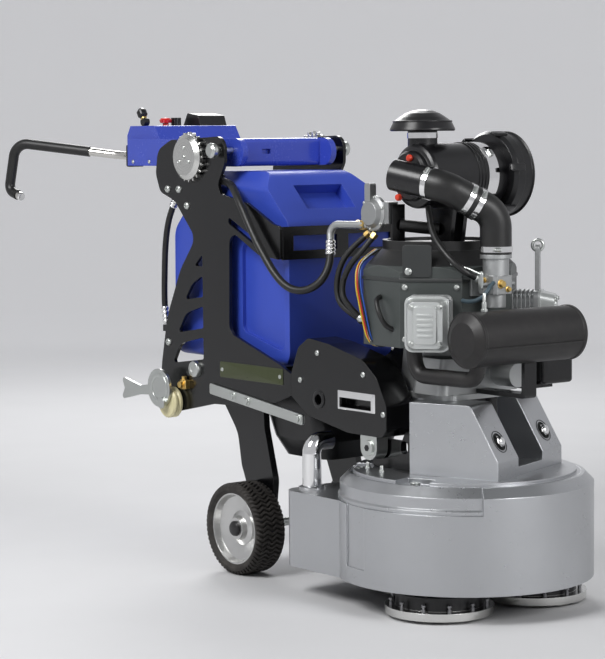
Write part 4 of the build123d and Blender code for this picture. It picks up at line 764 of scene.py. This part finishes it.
def slab(outline, origin, across, up, thick, edge=0.8, hole=None):
    """Outline in the (across, up) plane, raised by thick along their cross product; a hole makes a frame."""
    across, up = np.asarray(across, float), np.asarray(up, float)
    out = np.cross(across, up)
    shrink = outline.mean(0) + (outline - outline.mean(0)) * (1 - 2 * edge / np.ptp(outline, axis=0).min())
    inner = np.repeat(outline.mean(0)[None], len(outline), 0) if hole is None else hole
    rows = [(inner, -0.5), (outline, -0.5), (outline, thick - edge), (shrink, thick), (inner, thick)]
    rows = rows if hole is None else rows + rows[:1]
    flat = np.array([np.column_stack([shape, np.full(len(shape), height)]) for shape, height in rows]) / 1000
    return np.asarray(origin) + flat[..., :1] * across + flat[..., 1:2] * up + flat[..., 2:] * out


print("a rounded outline has", len(rounded(2, 1, 0.2)), "points")

# %% [markdown]
# ## The side plates and hinge covers
# The black steel carries a bare identification plate with two rivets, a domed cap, a brass valve and bright
# screws. The screws and bolts are on both sides of the machine, so one function makes them and their mirror
# images.

# %% Screws for both sides
FACE_Y = -216
MIRROR = np.array((1, -1, 1))


def button_screws(places, axis, radius, tall):
    """Domed head with a round drive recess."""
    profile = [
        (0, -0.5), (radius, -0.5), (0.94 * radius, 0.5 * tall), (0.7 * radius, 0.9 * tall),
        (0.42 * radius, tall), (0.40 * radius, 0.35 * tall), (0, 0.35 * tall),
    ]
    return [turned(profile, places, axis, 16)]


def each_side(fasteners, places, *sizes):
    """The same fasteners at places on the right and at their mirror images on the left."""
    return fasteners(places, RIGHT, *sizes) + fasteners(places * MIRROR, LEFT, *sizes)


print("two screws are", len(each_side(button_screws, at(0, FACE_Y, 0), 8, 4)), "grids")

# %% Plate, screws, cap and valve on the frame
name_plate = slab(rounded(288, 44, 5), at(-628, FACE_Y, 559), FORWARD, UP, 2.2)
put("identification_plate", [name_plate], "chassis", olive_plate)
rivets = all_at([(-760, FACE_Y - 2, 559), (-496, FACE_Y - 2, 559)])
put("plate_rivets", button_screws(rivets, RIGHT, 6, 3), "chassis", zinc_plate)

cover_screws = all_at([(-335, FACE_Y, 635), (-409, FACE_Y, 558), (-146, FACE_Y, 592), (-67, FACE_Y, 496)])
corner_screws = all_at([
    (-1017, FACE_Y, 1057), (-962, FACE_Y, 1057), (-923, FACE_Y, 1011), (-1023, FACE_Y, 618),
])
frame_screws = each_side(button_screws, cover_screws, 8, 4.5) + each_side(button_screws, corner_screws, 11, 7)
put("frame_screws", frame_screws, "chassis", zinc_plate)
bar_bolts = all_at([(-705, -224, 489), (-638, -224, 481), (-410, -224, 454)])
put("link_bar_bolts", each_side(hex_bolts, bar_bolts, 10, 8), "chassis", zinc_plate)

cap = [(0, -0.5), (24, -0.5), (24, 8), (22, 12), (15, 15), (8, 15.5), (7, 13.5), (0, 13.5)]
put("frame_cap", [turned(cap, at(-888, FACE_Y, 550), RIGHT, 36)], "chassis", zinc_plate)
valve = [
    slab(rounded(30, 26, 4), at(-936, FACE_Y, 503), FORWARD, UP, 16, 1.5),
    *hex_bolts(at(-936, FACE_Y - 15.5, 503), RIGHT, 10, 12),
    *hex_bolts(at(-936, FACE_Y - 9, 515.5), UP, 8, 11),
]
put("drain_valve", valve, "chassis", brass)

# %% [markdown]
# ## Openings of the hinge covers
# Each cover has a square window with a bright frame and a round port with a plastic ring. The frame is a
# slab with a hole, the ring is turned, and the left pair mirrors the right one. A thin black hex disc on each
# hinge pin paints the shade of its socket.

# %% Window frame, port ring and pin sockets
window_edge, window_hole = rounded(151.4, 49.4, 3), rounded(128, 26, 2, (-4, -6))
window = slab(window_edge, at(-174, FACE_Y + 4, 520), FORWARD, UP, 6, 1.0, window_hole)
ring = [(14.5, -6), (16.8, -6), (16.8, -0.3), (24, -0.3), (24, 2), (22, 3.2), (14.5, 3.2), (14.5, -6)]
for side, sign in (("right", 1), ("left", -1)):
    put(f"window_frame_{side}", [window * (1, sign, 1)], "chassis", chrome)
    port = turned(ring, at(-330, sign * FACE_Y, 512), (0, -sign, 0), 32)
    put(f"port_ring_{side}", [port], "chassis", black_moulding)


def socket_shade_discs(places, axis):
    """Thin six-sided discs, painted shade for the hex socket in a pin."""
    return [turned([(0, -0.4), (9, -0.4), (9, 0.8), (0, 0.8)], places, axis, 6)]


# Black hex discs on the pins: painted shade of their sockets.
put("hinge_pin_socket_shade", each_side(socket_shade_discs, at(-134, FACE_Y, 404)), "chassis", black_moulding)

# %% [markdown]
# ## The air cleaner
# The intake hose has bright bands with worm screws and a rubber sleeve under them, and the cleaner has red
# blanking plugs in its nose and latches round its cover. A worm screw sits on its band where a fitter can
# reach it, so one function turns it to the side that faces the front.

# %% Bands of the intake hose and their screws
CLEANER_X, CLEANER_Z = -60, 1100
FRONT = np.array((0.62, -0.48, 0.62))


def hoop(inner, outer, half):
    """Profile of a ring: inner and outer radius, and half its length."""
    return [(inner, -half), (outer, -half), (outer, half), (inner, half), (inner, -half)]


def facing(axis):
    """Direction square to an axis and nearest to the front: front minus its share along the axis."""
    return unit(FRONT - axis * (FRONT @ axis))


hose_start, before, corner = all_at([(31, -156, 1086), (85, -135, 1074), (145, -23, 1006)])
along, run = unit(before - hose_start), unit(corner - before)
hose_places = np.array([corner - run * 0.055, corner - run * 0.082])
put("hose_bands", [turned(hoop(40.1, 42.6, 7), hose_places, run, 40)], "head", chrome)
put("hose_sleeve", [turned(hoop(40.1, 41.2, 20), hose_places.mean(0), run, 40)], "head", hose_rubber)

worm = [(0, -9), (5.5, -9), (5.5, 6), (4.2, 6.4), (4.2, 11), (0, 11)]
HOSE_BAND, BODY_BAND = 0.0445, 0.087
band_places = [
    (hose_places[0], facing(run), run, HOSE_BAND),
    (hose_places[1], facing(run), run, HOSE_BAND),
    (hose_start + along * 0.013, facing(along), along, HOSE_BAND),
    (at(145, -23, 918), np.array((0.79, -0.61, 0)), UP, HOSE_BAND),
    (at(CLEANER_X, 85, CLEANER_Z), np.array((0.77, 0, 0.64)), LEFT, BODY_BAND),
]
screws = [turned(worm, place + out * high, np.cross(out, axle), 12) for place, out, axle, high in band_places]
put("band_screws", screws, "head", zinc_plate)

# %% Plugs and latches of the air cleaner
plugs = all_at([(-50, -135, 1146), (-94, -135, 1046)])
plug = [(0, -1), (9, -1), (9, 6), (7.5, 9), (3, 10.5), (0, 10.5)]
put("cleaner_plugs", [turned(plug, plugs, RIGHT, 20)], "head", red_cap)

latch_angles = np.arange(20, 380, 60)
latch_places = at(CLEANER_X, 142, CLEANER_Z) + round_places(latch_angles, 0.1095, UP, FORWARD)
latch_across = round_places(latch_angles + 90, 1, UP, FORWARD)
latch = rounded(20, 52, 5)
latches = [slab(latch, place, across, LEFT, 7, 2) for place, across in zip(latch_places, latch_across)]
put("cleaner_latches", latches, "head", black_moulding)

# %% [markdown]
# ## Small round things on the engine
# The rain cap has a rolled bead, the lifting eye a ring, the muffler a sensor, and a short rubber pipe lies
# under the air cleaner. Bead and ring are turned from a small circle, which is quicker than a torus that
# must be placed by hand.

# %% Bead of the rain cap, lifting ring, cross pipe and muffler sensor
ENGINE_X, MUFFLER_X, MUFFLER_Z = -90, 240, 706


def heading(degrees):
    """Level direction, turned from straight ahead towards the left."""
    return round_places([degrees], 1)[0]


wire_round = np.linspace(0, 2 * np.pi, 13)
small_circle = np.column_stack([np.cos(wire_round), np.sin(wire_round)])
rolled_edge = turned((74.0, 1238.5) + 2.6 * small_circle, at(-76, -72, 0), UP, 64)
put("rain_cap_bead", [rolled_edge], "head", black_moulding)
eye_out = heading(41)
eye_place = at(ENGINE_X, 0, 919) + eye_out * 0.252
eye_ring = turned((14.0, 0) + 4.2 * small_circle, eye_place, np.cross(eye_out, UP), 32)
put("lifting_ring", [eye_ring], "head", zinc_plate)
pipe = tube_grid(all_at([(-132, -100, 973), (-100, -70, 968), (-66, -26.5, 962)]), 0.016, 20)
put("cross_pipe", [pipe], "head", hose_rubber)
sensor = [(0, -2), (9, -2), (9, 6), (6.4, 7), (6.4, 22), (4.4, 24), (4.4, 44), (3, 46), (0, 46)]
put("muffler_sensor", [turned(sensor, at(MUFFLER_X, -150, 773), UP, 14)], "head", zinc_plate)

# %% [markdown]
# ## Exhaust
# The pipe is coated like the muffler. It comes down under the right cylinder, runs forward and turns up
# into the muffler, which has one folded seam along its side. The drawn pipe is thinner than the real one,
# so a fatter tube is carried along the same route and stands for it.

# %% Exhaust tube and muffler seam
down = [(28.8, -193.5, 668), (28.8, -193.5, 604), (110, -184.5, 604)]
forward = [(170, -177.8, 604), (MUFFLER_X, -170, 604), (MUFFLER_X, -170, 652)]
pipe_line = curve_points(hose_line("exhaust_line", down + forward))
exhaust_tube = put("exhaust_tube", [tube_grid(pipe_line, 0.020, 24)], "head", heat_coat, sharp=60)
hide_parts("exhaust_pipe")
seam_side = at(MUFFLER_X, 0, MUFFLER_Z) + round_places([-15], 0.0686, FORWARD, UP)
seam_run = seam_side + np.outer((-0.206, -0.036, 0.134), LEFT)
put("muffler_seam", [tube_grid(seam_run, 0.0026, 8)], "head", heat_coat)

# %% [markdown]
# ## The fan's mesh
# A pressed mesh closes the top of the blower. From a few metres only its rings are seen, so it is one
# turned disc whose height follows the square root of a sine of the distance from the axis, eleven times.

# %% Fan mesh over the blower
MESH_R, MESH_FOOT, MESH_LOW = 137.6, 922.8, 924.5
radius = np.linspace(0, MESH_R, 70)
ripple = MESH_LOW + 2.2 * np.abs(np.sin(radius / MESH_R * np.pi * 11)) ** 0.5
mesh_profile = np.column_stack([np.append(radius, (MESH_R, 0)), np.append(ripple, (MESH_FOOT, MESH_FOOT))])
put("fan_mesh", [turned(mesh_profile, at(ENGINE_X, 0, 0), UP, 64)], "head", black_moulding)

# %% [markdown]
# ## Ends of the hoses
# Fuel hoses start from brass nipples, and hose ends are held by crimped ferrules. A ferrule follows its
# hose, so it is a tube on the first stretch of the hose's own line, with a radius that swells between the
# crimps.

# %% Brass nipples of the gas side
nipple = [(0, -6), (10.5, -6), (10.5, 6), (9, 7), (9, 9), (0, 9)]
hose_starts = [all_at(route[:2]) for route in fuel_routes[:2]]
nipples = [turned(nipple, first, second - first, 6) for first, second in hose_starts]
nipples += [
    turned(hoop(10.2, 14, 9), at(-240, -130, 971), FORWARD, 6),
    turned(hoop(10.2, 13, 6), at(-262, -130, 971), FORWARD, 20),
]
put("gas_nipples", nipples, "head", brass)


# %% Crimped ferrules, and screws of the regulator
def ferrule(line, radius, reach, bands=4):
    """Sleeve over the first stretch of a line, its radius swelling between crimps by a power of a sine."""
    travelled = np.concatenate([[0], np.cumsum(np.linalg.norm(np.diff(line, axis=0), axis=1))])
    place = np.linspace(0, reach, 8 * bands + 1)
    points = np.column_stack([np.interp(place, travelled, line[:, k]) for k in range(3)])
    swell = radius + 0.0028 * np.abs(np.sin(place / reach * np.pi * bands)) ** 0.6 + 0.0006
    return tube_grid(points, swell, 20)


put("gas_hose_ferrule", [ferrule(gas_line, GAS_R, 0.040)], "head", chrome)
drop_ends = [ferrule(drop_line[::-1], DROP_R, 0.050), ferrule(drop_line, DROP_R, 0.034)]
put("drop_hose_ferrules", drop_ends, "chassis", chrome)
fuel_ends = [ferrule(curve_points(hose_line("end", route[::-1])), FUEL_R, 0.018, 1) for route in fuel_routes]
put("fuel_hose_ferrules", fuel_ends, "head", zinc_plate)
face_ring = at(-195, -139, 1003) + round_places(np.arange(6) * 60 + 20, 0.0415, FORWARD, UP)
put("regulator_screws", hex_bolts(face_ring, RIGHT, 4.2, 6), "head", zinc_plate)

# %% [markdown]
# ## The mixer
# The gas mixer has a throttle lever with a thin link rod to the governor, and brass plugs in its body.
# Slab, tube and hex bolt are at hand already, so each is one line.

# %% Mixer lever, link rod and plugs
lever = slab(rounded(16, 46, 7), at(153, -80, 842), FORWARD, UP, 3, 0.8)
link = tube_grid(all_at([(155, -82.5, 858), (120, -96, 872), (66, -104, 880)]), 0.0026, 10)
put("mixer_link", [lever, link], "head", zinc_plate)
mixer_plugs = [
    *hex_bolts(at(135, -55, 838), RIGHT, 8, 12),
    *hex_bolts(at(177, -36, 832), FORWARD, 9, 12),
    *hex_bolts(at(177, -12, 818), FORWARD, 6, 9),
]
put("mixer_plugs", mixer_plugs, "head", brass)

# %% [markdown]
# ## Blower bracket and valve covers
# The blower is eight-sided. A folded bracket with one bolt closes its corner and a seam runs round it. The
# valve covers have ribs and a bolt in each corner. All of these stand on upright faces, so places are
# counted across and up from a point on the face.

# %% Blower bracket and cover ribs
def on_face(place, across, steps):
    """Place + millimetres across x direction + millimetres up, for each pair of steps."""
    steps = np.array(steps, float) / 1000
    return place + steps[:, :1] * across + steps[:, 1:] * UP


def four(wide, low, high):
    """Steps to four corners."""
    return [(side, up) for side in (-wide, wide) for up in (low, high)]


blower_out = heading(-49)
blower_across = np.cross(UP, blower_out)
blower_face = at(ENGINE_X, 0, 0) + blower_out * 0.190
bracket_place = on_face(blower_face, blower_across, [(-34, 888)])[0]
bracket = slab(rounded(74, 82, 8), bracket_place, blower_across, UP, 4, 0.8)
put("blower_bracket", [bracket], "head", dark_coat)
bolt_place = on_face(blower_face + blower_out * 0.004, blower_across, [(-56, 862)])
put("blower_bracket_bolt", hex_bolts(bolt_place, blower_out, 7, 8), "head", zinc_plate)
seam = np.array([(189, 836), (193, 836), (193, 842), (191, 845), (189, 845), (189, 836)], float)
seam[:, 0] /= np.cos(np.pi / 8)
put("blower_seam", [turned(seam, at(ENGINE_X, 0, 0), UP, 8, 18.5)], "head", dark_coat)
housing_screws = on_face(blower_face, blower_across, four(66, 690, 822))
put("housing_screws", hex_bolts(housing_screws, blower_out, 5.5, 6), "head", zinc_plate)
rib_steps = [(0, lift) for lift in (-26, -13, 0, 13, 26)]
for side, sign in (("right", -1), ("left", 1)):
    out = heading(sign * 45 - 4)
    over = np.cross(UP, out)
    face = at(ENGINE_X, 0, 735) + out * 0.302
    ribs = [slab(rounded(40, 7, 3), place, over, UP, 3, 1.2) for place in on_face(face, over, rib_steps)]
    put(f"cover_ribs_{side}", ribs, "head", cover_paint)
    corners = on_face(face - out * 0.004, over, four(36, -46, 46))
    put(f"cover_bolts_{side}", hex_bolts(corners, out, 5.5, 7), "head", zinc_plate)

# %% [markdown]
# ## The pedal
# The foot pedal is plate steel with a ring pressed into its round end to stiffen it, a turned bead on the
# plate.

# %% Pressed ring on the pedal
press = [(30, -0.4), (44, -0.4), (43, 1.4), (40, 2.4), (35, 2.4), (31, 1.4), (30, -0.4)]
put("pedal_ring", [turned(press, at(-1015, -260.3, 489), RIGHT, 48)], "pedal", zinc_plate)

# %% [markdown]
# ## The handle
# Screws hold the index discs and the arms, a brass collar sits under the throttle's knob, a dark glass
# closes the display, and bright caps close the ends of the bars. All of them are turned pieces and slabs.

# %% Handle fittings
index_centre = at(INDEX_X, -244.3, INDEX_Z)
index_screws = np.append(index_centre + round_places((90, 210, 330), 0.026, FORWARD, UP), [index_centre], 0)
put("index_screws", each_side(button_screws, index_screws, 6, 3.5), "handle", zinc_plate)
arm_screws = all_at([(-1270, -165, 1133), (-1185, -165, 1133), (-1100, -165, 1133)])
put("arm_screws", each_side(button_screws, arm_screws, 6, 3.5), "handle", zinc_plate)
glass = skin("display_glass", (0.004, 0.005, 0.008), 0.08, 200.0, 0.0001, 0.1, Coat_Weight=0.6)
pane = slab(rounded(68, 28, 3), at(-1279, 84, 1256), RIGHT, unit((16, 0, 28)), 1.2, 0.4)
put("display_pane", [pane], "handle", glass)
lever_axis = unit((-16, 0, 26))
knob_foot = at(-1295, -104, 1250.3) + lever_axis * 0.0125
collar = [(5.8, -5), (9.5, -5), (9.5, 1), (8, 3), (5.8, 3), (5.8, -5)]
put("throttle_collar", [turned(collar, knob_foot, lever_axis, 20)], "throttle", brass)
bar_before, bar_end = all_at([(-1712, -329, 1046), (-1655, -322, 1028)])
bar_ends = np.array([bar_end, bar_end * MIRROR])
bar_runs = np.array([bar_end - bar_before, (bar_end - bar_before) * MIRROR])
bar_cap = [(0, -1), (13.4, -1), (13.4, 3), (11, 6), (0, 7)]
put("bar_caps", [turned(bar_cap, bar_ends, bar_runs, 24)], "handle", chrome)

# %% [markdown]
# ## Where the bars enter the console
# A plastic plate with four screws holds each handlebar. The left plate is the right one times the mirror.

# %% Clamp plates and their screws
BAR_Y, BAR_Z = -118, 1150
bar_plate = slab(rounded(58, 66, 6), at(-1327, BAR_Y, BAR_Z), RIGHT, UP, 9, 1.5)
put("bar_clamps", [bar_plate, bar_plate * MIRROR], "handle", black_moulding)
bar_screws = on_face(at(-1336, BAR_Y, BAR_Z), LEFT, four(20, -24, 24))
clamp_screws = button_screws(np.append(bar_screws, bar_screws * MIRROR, 0), (-1, 0, 0), 4.5, 3)
put("bar_clamp_screws", clamp_screws, "handle", zinc_plate)

# %% [markdown]
# ## The studio
# A round pale floor that rises into a cove nine metres out, so the machine can be looked at from all round
# and no edge shows. Lamps light the machine and not the cove, so the cove glows a little, but only for the
# camera and for reflections.

# %% Floor
LEVEL, BEND, TOP, UNDER = 9, 4, 14, 0.0005
bend = np.radians(np.arange(0, 91, 3))
reach = np.concatenate([[0, 1.5, 3, 5, 7], LEVEL + BEND * np.sin(bend), [LEVEL + BEND]])
rise = np.concatenate([[0, 0, 0, 0, 0], BEND - BEND * np.cos(bend), [TOP]]) - UNDER
cove = turned(1000 * np.column_stack([reach, rise]), (0, 0, 0), UP, 120)
pale = Paint("pale_floor", Emission_Strength=1.0)
off_x, off_y = pale.part("X"), pale.part("Y")
far = ((off_x * off_x + off_y * off_y) ** 0.5).between(1.5, 7.5)
rays = [pale.node("LightPath", {}, out=f"Is {kind} Ray") for kind in ("Camera", "Glossy", "Transmission")]
seen = rays[0] + rays[1] + rays[2]
glow = pale.mix(far * seen, (0, 0, 0), (0.36, 0.36, 0.37))
pale.link(pale.shader.inputs["Emission Color"], glow)
tone = pale.mix(pale.noise(3.0), (0.66, 0.66, 0.67), (0.70, 0.70, 0.71))
floor = mesh_of("floor", [cove], pale.done(tone, 0.7), sharp=60)

# %% [markdown]
# ## The lamps
# One large soft lamp above the right side is the main light, and two weaker ones open the shadows from the
# front and the rear. An even pale sky fills in what they leave.

# %% Lamps and sky
def lamp(name, place, target, size, power):
    """Square soft lamp looking from its place to its target."""
    data = bpy.data.lights.new(name, "AREA")
    data.size, data.energy = size, power
    piece = bpy.data.objects.new(name, data)
    z = unit(np.subtract(place, target))
    x = unit(np.cross(UP, z))
    matrix = np.eye(4)
    matrix[:3, 0], matrix[:3, 1], matrix[:3, 2], matrix[:3, 3] = x, np.cross(z, x), z, place
    piece.matrix_world = Matrix(matrix)
    bpy.context.scene.collection.objects.link(piece)


lamp("key", (0.6, -3.8, 4.0), (0, 0, 0.6), 2.2, 190)
lamp("front", (4.8, 0.4, 2.6), (0.4, 0, 0.6), 1.8, 95)
lamp("rear", (-3.2, 2.2, 3.4), (-0.2, 0, 0.8), 2.0, 112)
world = bpy.data.worlds.new("studio")
bpy.context.scene.world = world
world.use_nodes = True
sky = world.node_tree.nodes["Background"].inputs
sky["Color"].default_value = (0.80, 0.82, 0.85, 1)
sky["Strength"].default_value = 0.30
bpy.context.scene.view_settings.view_transform = "Standard"
print(len(bpy.data.lights), "lamps and a sky")

# %% [markdown]
